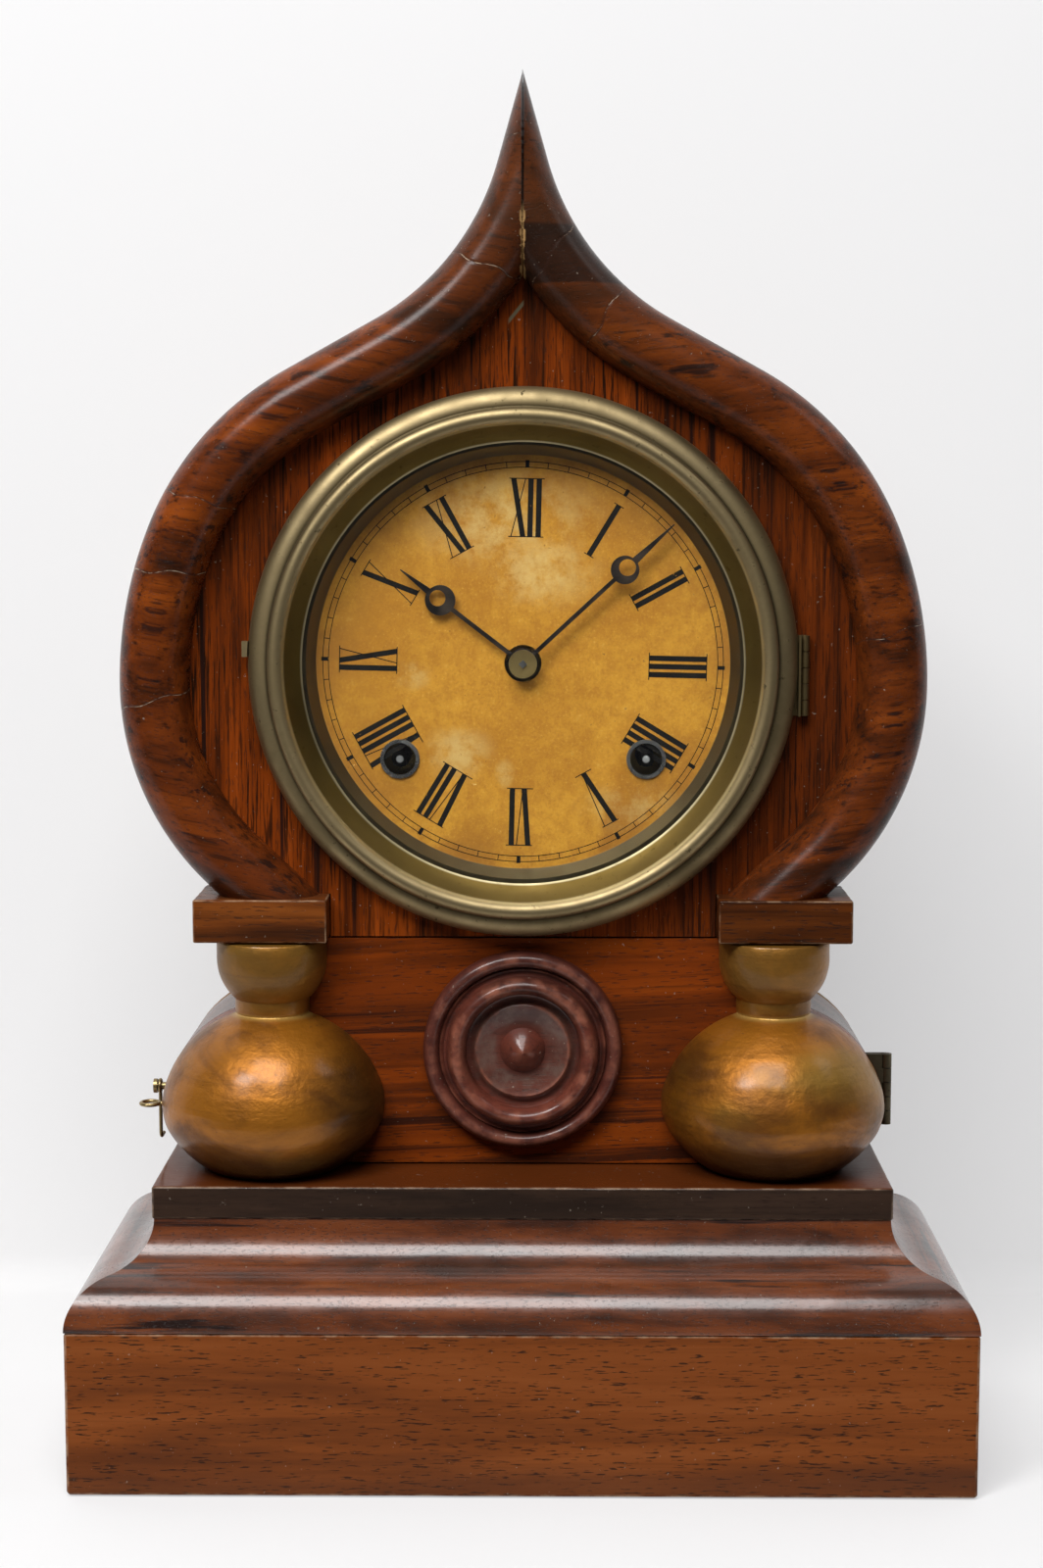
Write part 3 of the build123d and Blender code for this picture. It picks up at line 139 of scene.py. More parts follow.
def board_for(node, radius):
    """A soft-edged board in the box of a CAD board, its arrises nibbled by a slow wave."""
    low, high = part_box(node)
    points, arris = soft_board(low, high, radius)
    centre = (np.array(low) + np.array(high)) / 2
    inwards = np.sign(centre - points) * arris[..., None]
    points = points + inwards * np.abs(ripple(points, 0.004, 0.16 * MM))[..., None]
    return piece("veneered_" + node, points, grid_faces(*points.shape[:2], True), "case", [node],
                 {"arris": arris})


base_boards = [
    board_for(node, 1.1 * MM) for node in ("base_front_board", "base_left_board", "base_right_board")]


def add(tree, kind, inputs=None, **settings):
    """Adds a node, sets its properties, and fills its inputs with values or links."""
    node = tree.nodes.new("ShaderNode" + kind)
    for key, value in settings.items():
        setattr(node, key, value)
    for key, value in (inputs or {}).items():
        if isinstance(value, bpy.types.NodeSocket):
            tree.links.new(value, node.inputs[key])
        else:
            node.inputs[key].default_value = value
    return node


def blank(name, **values):
    """A new material with its shader's plain values set; returns the material, its tree and the shader."""
    material = bpy.data.materials.new(name)
    material.use_nodes = True
    shader = material.node_tree.nodes["Principled BSDF"]
    for key, value in values.items():
        shader.inputs[key.replace("_", " ")].default_value = value
    return material, material.node_tree, shader


def mixed(tree, factor, one, two):
    """Colour one turned into colour two by a factor."""
    return add(tree, "Mix", {0: factor, 6: one, 7: two}, data_type="RGBA", clamp_factor=True).outputs[2]


def ranged(tree, value, low, high, to_low=0.0, to_high=1.0):
    """A value read smoothly from one range to another."""
    node = add(
        tree, "MapRange", {"Value": value, "From Min": low, "From Max": high, "To Min": to_low, "To Max": to_high},
        interpolation_type="SMOOTHSTEP")
    return node.outputs["Result"]


def sums(tree, operation, one, two):
    """One sum of two values."""
    return add(tree, "Math", {0: one, 1: two}, operation=operation).outputs[0]


def both(tree, one, two):
    """Where both masks hold: their product."""
    return sums(tree, "MULTIPLY", one, two)


def here(tree):
    """The place on a piece, in its own coordinates."""
    return add(tree, "TexCoord").outputs["Object"]


def noise(tree, vector, scale, seed, detail=4.0, rough=0.55, bend=0.0):
    """Noise stretched by a scale along each axis."""
    spread = add(tree, "VectorMath", {0: vector, 1: scale}, operation="MULTIPLY").outputs[0]
    node = add(tree, "TexNoise", {"Vector": spread, "W": seed, "Scale": 1.0, "Detail": detail,
                                  "Roughness": rough, "Distortion": bend}, noise_dimensions="4D")
    return node.outputs["Fac"]


def group_sockets(name, entries, exits):
    """An empty shader group with named inputs and outputs."""
    group = bpy.data.node_groups.new(name, "ShaderNodeTree")
    for label, kind, value in entries:
        socket = group.interface.new_socket(label, in_out="INPUT", socket_type="NodeSocket" + kind)
        if value is not None:
            socket.default_value = value
    for label, kind in exits:
        group.interface.new_socket(label, in_out="OUTPUT", socket_type="NodeSocket" + kind)
    return group, group.nodes.new("NodeGroupInput"), group.nodes.new("NodeGroupOutput")


# Veneer figure, shared by every veneered surface: broad dark and pale bands, fine lines, black streaks and
# short open pores, all drawn out along the grain, which is the x axis of the vector that comes in.
veneer_figure, given, made = group_sockets("veneer_figure", [
    ("Grain", "Vector", None), ("Pale", "Color", (0.3, 0.12, 0.04, 1)), ("Middle", "Color", (0.15, 0.05, 0.02, 1)),
    ("Dark", "Color", (0.03, 0.012, 0.008, 1)), ("Streaks", "Float", 0.5), ("Lines", "Float", 0.5),
    ("Pores", "Float", 0.5), ("Seed", "Float", 0.0)],
    [("Colour", "Color"), ("Gloss", "Float"), ("Height", "Float")])
grain, seed = given.outputs["Grain"], given.outputs["Seed"]
bands = noise(veneer_figure, grain, (6, 75, 75), seed, 5, 0.6, 0.5)
wander = noise(veneer_figure, grain, (14, 22, 22), sums(veneer_figure, "ADD", seed, 3.1), 3)
lines = noise(veneer_figure, grain, (9, 680, 680), sums(veneer_figure, "ADD", seed, 7.7), 3, 0.6)
streaks = noise(veneer_figure, grain, (3.5, 210, 210), sums(veneer_figure, "ADD", seed, 12.3), 4, 0.65, 0.25)
pores = noise(veneer_figure, grain, (210, 1900, 1900), sums(veneer_figure, "ADD", seed, 17.9), 2, 0.5)
figure = mixed(veneer_figure, ranged(veneer_figure, bands, 0.36, 0.54), given.outputs["Dark"],
               given.outputs["Middle"])
figure = mixed(veneer_figure, ranged(veneer_figure, bands, 0.48, 0.70), figure, given.outputs["Pale"])
figure = mixed(veneer_figure, ranged(veneer_figure, wander, 0.30, 0.75, 0.0, 0.45), figure, given.outputs["Middle"])
line_mask = both(veneer_figure, ranged(veneer_figure, lines, 0.50, 0.72), given.outputs["Lines"])
figure = mixed(veneer_figure, line_mask, figure, given.outputs["Dark"])
streak_mask = both(veneer_figure, ranged(veneer_figure, streaks, 0.555, 0.645), given.outputs["Streaks"])
figure = mixed(veneer_figure, streak_mask, figure, (0.012, 0.006, 0.005, 1))
pore_mask = both(veneer_figure, ranged(veneer_figure, pores, 0.59, 0.65), given.outputs["Pores"])
figure = mixed(veneer_figure, pore_mask, figure, (0.016, 0.009, 0.006, 1))
veneer_figure.links.new(figure, made.inputs["Colour"])
gloss = sums(
    veneer_figure, "ADD", both(veneer_figure, pore_mask, 0.25),
    ranged(veneer_figure, wander, 0.3, 0.7, -0.05, 0.06))
veneer_figure.links.new(gloss, made.inputs["Gloss"])
height = sums(veneer_figure, "SUBTRACT", both(veneer_figure, lines, 0.3), pore_mask)
veneer_figure.links.new(height, made.inputs["Height"])

# Wear, shared by every worn finish: rubbed arrises where a piece is marked, small dents and dust.
worn_finish, given, made = group_sockets("worn_finish", [
    ("Colour", "Color", (0.1, 0.05, 0.03, 1)), ("Rubbed", "Color", (0.3, 0.16, 0.08, 1)), ("Edges", "Float", 0.6),
    ("Specks", "Float", 0.3), ("Seed", "Float", 0.0)], [("Colour", "Color"), ("Rough", "Float"), ("Height", "Float")])
place = here(worn_finish)
arris = add(worn_finish, "Attribute", attribute_name="arris").outputs["Fac"]
breaking = noise(worn_finish, place, (160, 160, 160), given.outputs["Seed"], 4, 0.6)
rubbed = both(
    worn_finish, both(worn_finish, arris, given.outputs["Edges"]), ranged(worn_finish, breaking, 0.38, 0.66))
dots = noise(worn_finish, place, (900, 900, 900), sums(worn_finish, "ADD", given.outputs["Seed"], 5.5), 2, 0.5)
speck_mask = both(worn_finish, ranged(worn_finish, dots, 0.70, 0.76), given.outputs["Specks"])
shade = mixed(worn_finish, rubbed, given.outputs["Colour"], given.outputs["Rubbed"])
shade = mixed(worn_finish, speck_mask, shade, (0.45, 0.38, 0.30, 1))
worn_finish.links.new(shade, made.inputs["Colour"])
worn_finish.links.new(both(worn_finish, sums(worn_finish, "ADD", rubbed, speck_mask), 0.25), made.inputs["Rough"])
dents = noise(worn_finish, place, (55, 55, 55), sums(worn_finish, "ADD", given.outputs["Seed"], 9.1), 3, 0.5)
worn_finish.links.new(sums(worn_finish, "SUBTRACT", dents, speck_mask), made.inputs["Height"])


def varnished(name, turn, seed, pale, middle, dark, streaks, lines, pores, rough, rubbed, edges, coat=0.25, tie=None,
              shine=0.05, stretch=1.0, haze=0.12, relief=0.35, waves=0.25):
    """Varnished veneer: the figure turned to its grain, then worn, under a satin or glossy coat."""
    material, tree, shader = blank(name, Coat_Weight=coat, Coat_Roughness=haze, Specular_IOR_Level=shine)
    place = here(tree)
    turned = add(
        tree, "Mapping", {"Vector": place, "Rotation": tuple(math.radians(a) for a in turn),
        "Location": (seed * 0.37, seed * 0.11, seed * 0.23)}).outputs[0]
    turned = add(tree, "VectorMath", {0: turned, 1: (stretch, 1, 1)}, operation="MULTIPLY").outputs[0]
    drawn = add(tree, "Group", node_tree=veneer_figure)
    for key, value in (("Pale", (*pale, 1)), ("Middle", (*middle, 1)), ("Dark", (*dark, 1)), ("Streaks", streaks),
                       ("Lines", lines), ("Pores", pores), ("Seed", seed)):
        drawn.inputs[key].default_value = value
    tree.links.new(turned, drawn.inputs["Grain"])
    colour = tie(tree, drawn.outputs["Colour"]) if tie else drawn.outputs["Colour"]
    aged = add(tree, "Group", {"Colour": colour, "Rubbed": (*rubbed, 1), "Edges": edges, "Specks": 0.35,
                               "Seed": seed}, node_tree=worn_finish)
    tree.links.new(aged.outputs["Colour"], shader.inputs["Base Color"])
    dull = sums(tree, "ADD", sums(tree, "ADD", drawn.outputs["Gloss"], aged.outputs["Rough"]), rough)
    tree.links.new(dull, shader.inputs["Roughness"])
    fine = add(tree, "Bump", {"Height": drawn.outputs["Height"], "Strength": relief, "Distance": 0.00025})
    broad = add(tree, "Bump", {"Height": aged.outputs["Height"], "Strength": waves, "Distance": 0.0012,
                               "Normal": fine.outputs[0]})
    tree.links.new(broad.outputs[0], shader.inputs["Normal"])
    return material


def dress(material, *things):
    """Gives a material to pieces or CAD nodes."""
    for thing in things:
        mesh = (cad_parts[thing] if isinstance(thing, str) else thing).data
        mesh.materials.clear()
        mesh.materials.append(material)


def darker_foot_band(tree, colour):
    """A darker band that fades out above the lowest edge."""
    place = here(tree)
    level = add(tree, "SeparateXYZ", {0: place}).outputs["Z"]
    uneven = noise(tree, place, (9, 9, 30), 2.0, 3)
    edge = sums(tree, "ADD", level, ranged(tree, uneven, 0.3, 0.7, -0.005, 0.005))
    return mixed(tree, ranged(tree, edge, 0.004, 0.016, 0.42, 0.0), colour, (0.045, 0.022, 0.014, 1))


base_front_veneer = varnished(
    "base_front_veneer", (0, 0, 0), 1.0, pale=(0.215, 0.062, 0.014), middle=(0.170, 0.045, 0.009),
    dark=(0.105, 0.028, 0.007), streaks=0.12, lines=0.30, pores=0.85, rough=0.36, rubbed=(0.40, 0.27, 0.17),
    edges=0.7, coat=0.02, tie=darker_foot_band)
base_side_veneer = varnished(
    "base_side_veneer", (0, 0, -90), 2.0, pale=(0.205, 0.060, 0.014), middle=(0.160, 0.043, 0.009),
    dark=(0.10, 0.027, 0.007), streaks=0.12, lines=0.30, pores=0.85, rough=0.36, rubbed=(0.40, 0.27, 0.17),
    edges=0.7, coat=0.02, tie=darker_foot_band)
dress(base_front_veneer, base_boards[0])
dress(base_side_veneer, *base_boards[1:])

# Bare softwood: the bottom board and the back board are planed pine gone brown with age, never varnished.
# Both are nailed on, the one under the base and the other over the whole back of the case.
bare_pine = varnished(
    "bare_pine", (0, 90, 0), 3.0, pale=(0.36, 0.215, 0.10), middle=(0.28, 0.155, 0.066), dark=(0.17, 0.085, 0.035),
    streaks=0.0, lines=0.55, pores=0.25, rough=0.62, rubbed=(0.40, 0.26, 0.14), edges=0.3, coat=0.0)
dress(bare_pine, "base_bottom_board", "back_board")

# Ogee moulding: a hollow over a round, planed in softwood, covered with streaky dark rosewood veneer and polished.
# Three lengths meet at mitres on the front corners. The grain runs along each length.
ogee_low, ogee_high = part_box("base_moulding_front")
OGEE_SEAT = 8.0 * MM
OGEE_RUN = ogee_high[1] - ogee_low[1] - OGEE_SEAT
OGEE_HEIGHT = ogee_high[2] - ogee_low[2]


def ogee_section():
    """A round below and a hollow above, two arcs of one radius that turn through the same angle, then the
    straight top, back and underside. Each point is the distance in from the face and the height."""
    turn = 2 * math.atan(OGEE_RUN / OGEE_HEIGHT)
    radius = OGEE_RUN / 2 / (1 - math.cos(turn))
    t = np.linspace(0, turn, 26)
    rounded = np.c_[radius * (1 - np.cos(t)), radius * np.sin(t)]
    hollow = np.c_[OGEE_RUN - radius * (1 - np.cos(t)), OGEE_HEIGHT - radius * np.sin(t)][::-1]
    deep = OGEE_RUN + OGEE_SEAT
    rest = np.array([[deep, OGEE_HEIGHT], [deep, OGEE_HEIGHT / 2], [deep, 0]])
    return np.concatenate([rounded, hollow[1:], rest])


def ogee_length(node, along, stations):
    """The section carried along a length: each end is cut where along says, by how far in a point lies, and
    closed by a fan from a point low inside, which sees the whole section."""
    low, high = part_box(node)
    section = ogee_section()
    t = np.linspace(0, 1, stations)[:, None]
    points = along(low, high, section[:, 0], section[:, 1] + low[2], t)
    inside = along(low, high, section[-1:, 0] * 0.92, section[24:25, 1] * 0.2 + low[2], t)
    points = np.concatenate(
        [np.repeat(inside[:1], points.shape[1], 1), points, np.repeat(inside[-1:], points.shape[1], 1)])
    points[..., 1] = np.clip(points[..., 1], low[1], high[1])
    return piece("polished_" + node, points, grid_faces(*points.shape[:2], True), "case", [node])


def along_front(low, high, inwards, level, t):
    left, right = low[0] + inwards, high[0] - inwards
    x = left[None, :] * (1 - t) + right[None, :] * t
    return np.stack([x, low[1] + inwards + 0 * x, level + 0 * x], -1)


def along_side(sign):
    def run(low, high, inwards, level, t):
        front = low[1] + inwards
        y = front[None, :] * (1 - t) + high[1] * t
        outer = high[0] if sign > 0 else low[0]
        return np.stack([outer - sign * inwards + 0 * y, y, level + 0 * y], -1)
    return run


ogee = [ogee_length("base_moulding_front", along_front, 90),
        ogee_length("base_moulding_right", along_side(1), 40),
        ogee_length("base_moulding_left", along_side(-1), 40)]
ogee_front_rosewood = varnished(
    "ogee_front_rosewood", (0, 0, 0), 4.0, pale=(0.205, 0.056, 0.014), middle=(0.120, 0.030, 0.008),
    dark=(0.030, 0.011, 0.006), streaks=0.95, lines=0.5, pores=0.45, rough=0.30, rubbed=(0.3, 0.2, 0.14), edges=0.0,
    coat=0.75, shine=0.3, stretch=3.0, haze=0.16, relief=0.9, waves=0.6)
ogee_side_rosewood = varnished(
    "ogee_side_rosewood", (0, 0, -90), 5.0, pale=(0.205, 0.056, 0.014), middle=(0.120, 0.030, 0.008),
    dark=(0.030, 0.011, 0.006), streaks=0.95, lines=0.5, pores=0.45, rough=0.30, rubbed=(0.3, 0.2, 0.14), edges=0.0,
    coat=0.75, shine=0.3, stretch=3.0, haze=0.16, relief=0.9, waves=0.6)
dress(ogee_front_rosewood, ogee[0])
dress(ogee_side_rosewood, *ogee[1:])

# Platform: a thick board laid on the moulding. Its edge is nearly black, with pale rubbed arrises,
# and its top is painted a lighter red-brown where it faces up, a painted light.
platform = board_for("platform_board", 0.7 * MM)


def painted_top_light(tree, colour):
    """Redder and lighter where the surface faces up: painted light on the top."""
    up = add(tree, "SeparateXYZ", {0: add(tree, "NewGeometry").outputs["Normal"]}).outputs["Z"]
    return mixed(tree, ranged(tree, up, 0.5, 0.9), colour, (0.085, 0.020, 0.004, 1))


platform_wood = varnished(
    "platform_wood", (0, 0, 0), 6.0, pale=(0.060, 0.034, 0.021), middle=(0.036, 0.020, 0.013),
    dark=(0.018, 0.011, 0.008), streaks=0.3, lines=0.6, pores=0.5, rough=0.30, rubbed=(0.26, 0.17, 0.11), edges=0.8,
    coat=0.25, tie=painted_top_light)
dress(platform_wood, platform)

# Case sides: the lower sides follow the gourds and the upper sides the onion, bent in thin wood and veneered.
# They show as pale glare behind the columns.
side_veneer = varnished(
    "side_veneer", (90, 0, 90), 7.0, pale=(0.17, 0.062, 0.030), middle=(0.11, 0.038, 0.019),
    dark=(0.05, 0.020, 0.012), streaks=0.5, lines=0.5, pores=0.5, rough=0.27, rubbed=(0.3, 0.2, 0.14), edges=0.0,
    coat=0.35)
dress(side_veneer, "case_side_left", "case_side_right", "onion_side_left", "onion_side_right")

# Columns: two half gourds turned in softwood, split and glued to the door, with a bulb, a neck and a bowl.
# They are bronzed: gold paint that has gone brown, brighter on the neck and bowl where less polish has built up.
# The underside of each bulb and its side towards the door are darkened: painted shade.
column_low, column_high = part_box("door_column_right")
COLUMN_X, COLUMN_FACE = 82.0 * MM, column_high[1]
BULB_Z = column_low[2] / MM + 20.6


def arc_points(x, z, radius, start, end, count):
    """Points of an arc about a centre, from one angle to another."""
    a = np.radians(np.linspace(start, end, count))
    return np.c_[x + radius * np.cos(a), z + radius * np.sin(a)]


FOOT_ARC, BELLY_ARC, SHOULDER_ARC = 40.71, 17.885, 37.29
FOOT_TURN, SHOULDER_TURN = -35.36, 16.43
BELLY_OUT, NECK_RADIUS, BOWL_RADIUS = 18.615, 12.2, 18.0
GOURD_STEPS = 97


def gourd_profile():
    """Radius against height: the bulb is four arcs that run into each other, the neck is straight with a small
    crease at its foot, and the bowl is part of a ball that ends in a straight lip with a broken edge."""
    foot = arc_points(0, BULB_Z + 13.21, FOOT_ARC, -56.15, FOOT_TURN, 20)
    lower = arc_points(BELLY_OUT, BULB_Z, BELLY_ARC, FOOT_TURN, 0, 26)
    upper = arc_points(BELLY_OUT, BULB_Z, BELLY_ARC, 0, SHOULDER_TURN, 14)[1:]
    shoulder = arc_points(0, BULB_Z - 5.49, SHOULDER_ARC, SHOULDER_TURN, 70.6, 44)[1:]
    neck = np.c_[
        NECK_RADIUS - np.array([0.1, 0.3, 0.1, 0, 0, 0]), BULB_Z + np.array([29.8, 30.1, 30.5, 31.2, 33.0, 34.6])]
    bowl = arc_points(0, BULB_Z + 48.1, BOWL_RADIUS, -47.3, 0, 26)
    lip = np.c_[BOWL_RADIUS - np.array([0, 0, 0.4, 1.1]), BULB_Z + np.array([51.0, 53.7, 54.3, 54.4])]
    return np.concatenate([foot, lower, upper, shoulder, neck, bowl, lip]) * MM


def half_turning(node, sign):
    """The profile carried half round an upright axis in front of the door, with a lathe's slow unevenness,
    and closed by its axis line at the back."""
    profile = gourd_profile()
    angle = np.linspace(np.pi, 2 * np.pi, GOURD_STEPS)[None, :]
    uneven = 1 + 0.0035 * np.sin(3 * angle + sign) * np.sin(profile[:, 1:] * 90) + 0.0012 * np.sin(
        profile[:, 1:] * 900 + sign)
    radius = np.minimum(profile[:, :1] * uneven, (BELLY_OUT + BELLY_ARC) * MM)
    x = sign * COLUMN_X + radius * np.cos(angle)
    y = COLUMN_FACE + radius * np.sin(angle)
    z = profile[:, 1:] + 0 * x
    points = np.stack([x, y, z], -1)
    ends = [
        np.stack([np.full(GOURD_STEPS, sign * COLUMN_X), np.full(GOURD_STEPS, COLUMN_FACE), np.full(GOURD_STEPS,
        profile[k, 1])], -1) for k in (0, -1)]
    points = np.concatenate([ends[0][None], points, ends[1][None]])
    return piece("bronzed_" + node, points, grid_faces(*points.shape[:2], True), "door", [node])


columns = [half_turning("door_column_left", -1), half_turning("door_column_right", 1)]
bronze, tree, shader = blank(
    "aged_bronze_paint", Coat_Weight=0.30, Coat_Roughness=0.20, Metallic=0.6, Specular_IOR_Level=0.25)
place = here(tree)
across, _, level = add(tree, "SeparateXYZ", {0: place}).outputs
patches = noise(tree, place, (30, 30, 46), 1.0, 5, 0.62, 0.8)
tints = noise(tree, place, (17, 17, 22), 7.0, 3, 0.55, 0.4)
rings = noise(tree, place, (6, 6, 520), 2.0, 4, 0.65)
paint = mixed(tree, ranged(tree, patches, 0.36, 0.64), (0.125, 0.042, 0.004, 1), (0.345, 0.125, 0.009, 1))
paint = mixed(tree, ranged(tree, tints, 0.46, 0.66, 0.0, 0.75), paint, (0.265, 0.150, 0.024, 1))
paint = mixed(tree, ranged(tree, level, 0.140, 0.150, 0.0, 0.5), paint, (0.230, 0.125, 0.022, 1))
# Painted shade under each bulb, below its belly.
paint = mixed(tree, ranged(tree, level, 0.108, 0.096, 0.0, 0.8), paint, (0.050, 0.022, 0.006, 1))
paint = mixed(tree, ranged(tree, rings, 0.52, 0.72, 0.0, 0.35), paint, (0.110, 0.045, 0.008, 1))
bright_ring = both(tree, ranged(tree, level, 0.1427, 0.1438), ranged(tree, level, 0.1450, 0.1438))
paint = mixed(tree, both(tree, bright_ring, 0.7), paint, (0.55, 0.36, 0.10, 1))
# Painted shade on each column's side towards the door.
painted_inner_shade = both(tree, ranged(tree, across, -0.070, -0.050), ranged(tree, across, 0.01, -0.01, 0.0, 0.75))
paint = mixed(tree, painted_inner_shade, paint, (0.022, 0.010, 0.003, 1))
painted_inner_shade = both(tree, ranged(tree, across, 0.062, 0.047), ranged(tree, across, -0.01, 0.01, 0.0, 0.45))
paint = mixed(tree, painted_inner_shade, paint, (0.022, 0.010, 0.003, 1))
scuffs = noise(tree, place, (420, 420, 1600), 3.0, 3, 0.55)
paint = mixed(tree, ranged(tree, scuffs, 0.64, 0.72, 0.0, 0.5), paint, (0.05, 0.022, 0.008, 1))
tree.links.new(paint, shader.inputs["Base Color"])
tree.links.new(ranged(tree, patches, 0.3, 0.7, 0.56, 0.44), shader.inputs["Roughness"])
brushed = add(tree, "Bump", {"Height": rings, "Strength": 0.20, "Distance": 0.0005})
lumpy = add(
    tree, "Bump", {"Height": noise(tree, place, (240, 240, 320), 4.0, 4, 0.6), "Strength": 0.45, "Distance": 0.0010,
    "Normal": brushed.outputs[0]})
tree.links.new(lumpy.outputs[0], shader.inputs["Normal"])
dress(bronze, *columns)

# Door: one board cut to the gourds, faced with orange-brown rosewood laid lengthways.
# It carries the columns and the rosette, and swings on a brass hinge at its right.
door_rosewood = varnished(
    "door_rosewood", (0, 2.5, 0), 8.0, pale=(0.290, 0.062, 0.006), middle=(0.185, 0.034, 0.004),
    dark=(0.055, 0.013, 0.004), streaks=0.75, lines=0.55, pores=0.6, rough=0.27, rubbed=(0.3, 0.16, 0.08),
    edges=0.0, coat=0.05)
dress(door_rosewood, "door_panel")

# Rosette: turned in one piece and stained oxblood, with a rounded rim, a quirk, a bead, a dish and a pointed boss.
# Polish has worn to a lighter red on the ridges and dirt has stayed in the grooves.
rosette_low, rosette_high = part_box("door_rosette")
ROSETTE_Z = (rosette_low[2] + rosette_high[2]) / 2


def rosette_profile():
    """Radius, height off the door and ridge mark: a rounded rim, a groove, a broad half-round bead, a second
    groove, a dish with a raised edge, and a boss that rises in an ogee to a blunt point."""
    a = np.linspace(0, np.pi, 18)[:-1]
    rim = np.c_[30.0 + 2.6 * np.cos(a), 2.4 + 3.4 * np.sin(a), 0.7 * np.sin(a) ** 3]
    step = np.array([[27.3, 3.2, 0.4], [26.9, 3.7, 0.6], [26.5, 3.5, 0.3], [25.9, 2.9, 0.0], [25.3, 2.9, 0.0]])
    b = np.linspace(0, np.pi, 22)
    bead = np.c_[21.8 + 3.1 * np.cos(b), 3.4 + 5.4 * np.sin(b), np.sin(b) ** 2]
    groove = np.array([[18.4, 2.6, 0.0], [17.6, 2.3, 0.0], [16.7, 2.5, 0.0], [15.9, 3.3, 0.2]])
    edge = np.array([[15.5, 3.9, 0.7], [15.1, 4.1, 0.9], [14.6, 3.9, 0.5]])
    c = np.linspace(0, 1, 14)[:, None]
    dish = np.c_[14.2 - 6.4 * c, 3.7 - 1.3 * np.sin(c * np.pi / 2), 0.05 + 0 * c]
    d = np.linspace(0, 1, 24)[:, None]
    boss = np.c_[7.4 * (1 - d), 2.4 + 4.6 * np.sin(d * np.pi / 2) ** 0.9 + 1.7 * d ** 6, 0.8 * d ** 2]
    return np.concatenate([[[0, 0, 0], [32.6, 0, 0], [32.6, 1.2, 0.2]], rim, step, bead, groove, edge, dish, boss])


def turned_piece(name, profile, centre_z, face_y, body, stands_for, mark=None, steps=192, close=False):
    """A profile of radius and height off the face, carried once round the depth axis."""
    angle = np.linspace(0, 2 * np.pi, steps, endpoint=False)[None, :]
    radius, rise = profile[:, :1] * MM, profile[:, 1:2] * MM
    points = np.stack([radius * np.cos(angle), face_y - rise + 0 * angle, centre_z + radius * np.sin(angle)], -1)
    marks = None
    if mark:
        marks = {mark: np.repeat(profile[:, 2:3], steps, 1)}
    if close:
        points = np.concatenate([points, points[:1]])
        if marks:
            marks[mark] = np.concatenate([marks[mark], marks[mark][:1]])
    return piece(name, points, grid_faces(*points.shape[:2], True), body, stands_for, marks)


rosette = turned_piece("turned_rosette", rosette_profile(), ROSETTE_Z, rosette_high[1], "door",
                       ["door_rosette"], "arris")


def about_axis(tree, level):
    """The place about a depth axis at a level, the same without its depth, and the distance from the axis."""
    place = add(tree, "Mapping", {"Vector": here(tree), "Location": (0, 0, -level)}).outputs[0]
    flat = add(tree, "VectorMath", {0: place, 1: (1, 0, 1)}, operation="MULTIPLY").outputs[0]
    return place, flat, add(tree, "VectorMath", {0: flat}, operation="LENGTH").outputs["Value"]


def dusty_dish(tree, colour):
    """Darker on the rim, and greyer with dust in the dish, read from the distance to the rosette's axis."""
    place, _, radius = about_axis(tree, ROSETTE_Z)
    colour = mixed(tree, ranged(tree, radius, 0.0255, 0.0285, 0.0, 0.5), colour, (0.045, 0.012, 0.010, 1))
    dish = both(tree, ranged(tree, radius, 0.0075, 0.0100), ranged(tree, radius, 0.0185, 0.0150))
    dust = both(tree, dish, ranged(tree, noise(tree, place, (130, 130, 130), 2.0, 5, 0.7), 0.40, 0.66, 0.1, 0.7))
    return mixed(tree, dust, colour, (0.120, 0.078, 0.062, 1))


oxblood = varnished(
    "oxblood_stain", (0, 0, 0), 9.0, pale=(0.145, 0.036, 0.022), middle=(0.092, 0.023, 0.014),
    dark=(0.036, 0.011, 0.008), streaks=0.25, lines=0.5, pores=0.5, rough=0.34, rubbed=(0.270, 0.090, 0.052),
    edges=0.9, coat=0.3, tie=dusty_dish, shine=0.2)
dress(oxblood, rosette)

# Cap blocks: small plinths under the feet of the onion moulding, veneered with streaky rosewood that has chipped.
# Each is glued to the dial panel above its column, with its grain level.
caps = [board_for("cap_block_left", 0.6 * MM), board_for("cap_block_right", 0.6 * MM)]
cap_left_rosewood = varnished(
    "cap_left_rosewood", (0, 0, 0), 10.0, pale=(0.235, 0.068, 0.012), middle=(0.125, 0.033, 0.007),
    dark=(0.036, 0.012, 0.005), streaks=0.55, lines=0.55, pores=0.6, rough=0.30, rubbed=(0.34, 0.21, 0.12),
    edges=0.8, coat=0.06)
# The right cap's veneer is streakier, and darker as painted shade.
cap_right_shaded_rosewood = varnished(
    "cap_right_shaded_rosewood", (0, 0, 0), 11.5, pale=(0.130, 0.034, 0.006), middle=(0.055, 0.015, 0.004),
    dark=(0.016, 0.006, 0.003), streaks=0.95, lines=0.6, pores=0.7, rough=0.30, rubbed=(0.34, 0.21, 0.12),
    edges=0.8, coat=0.06)
dress(cap_left_rosewood, caps[0])
dress(cap_right_shaded_rosewood, caps[1])

# Dial panel: upright rosewood veneer behind the bezel, orange-red with dark streaks.
# It is one board with a hole for the dial pan, glued between the case sides behind the moulding.


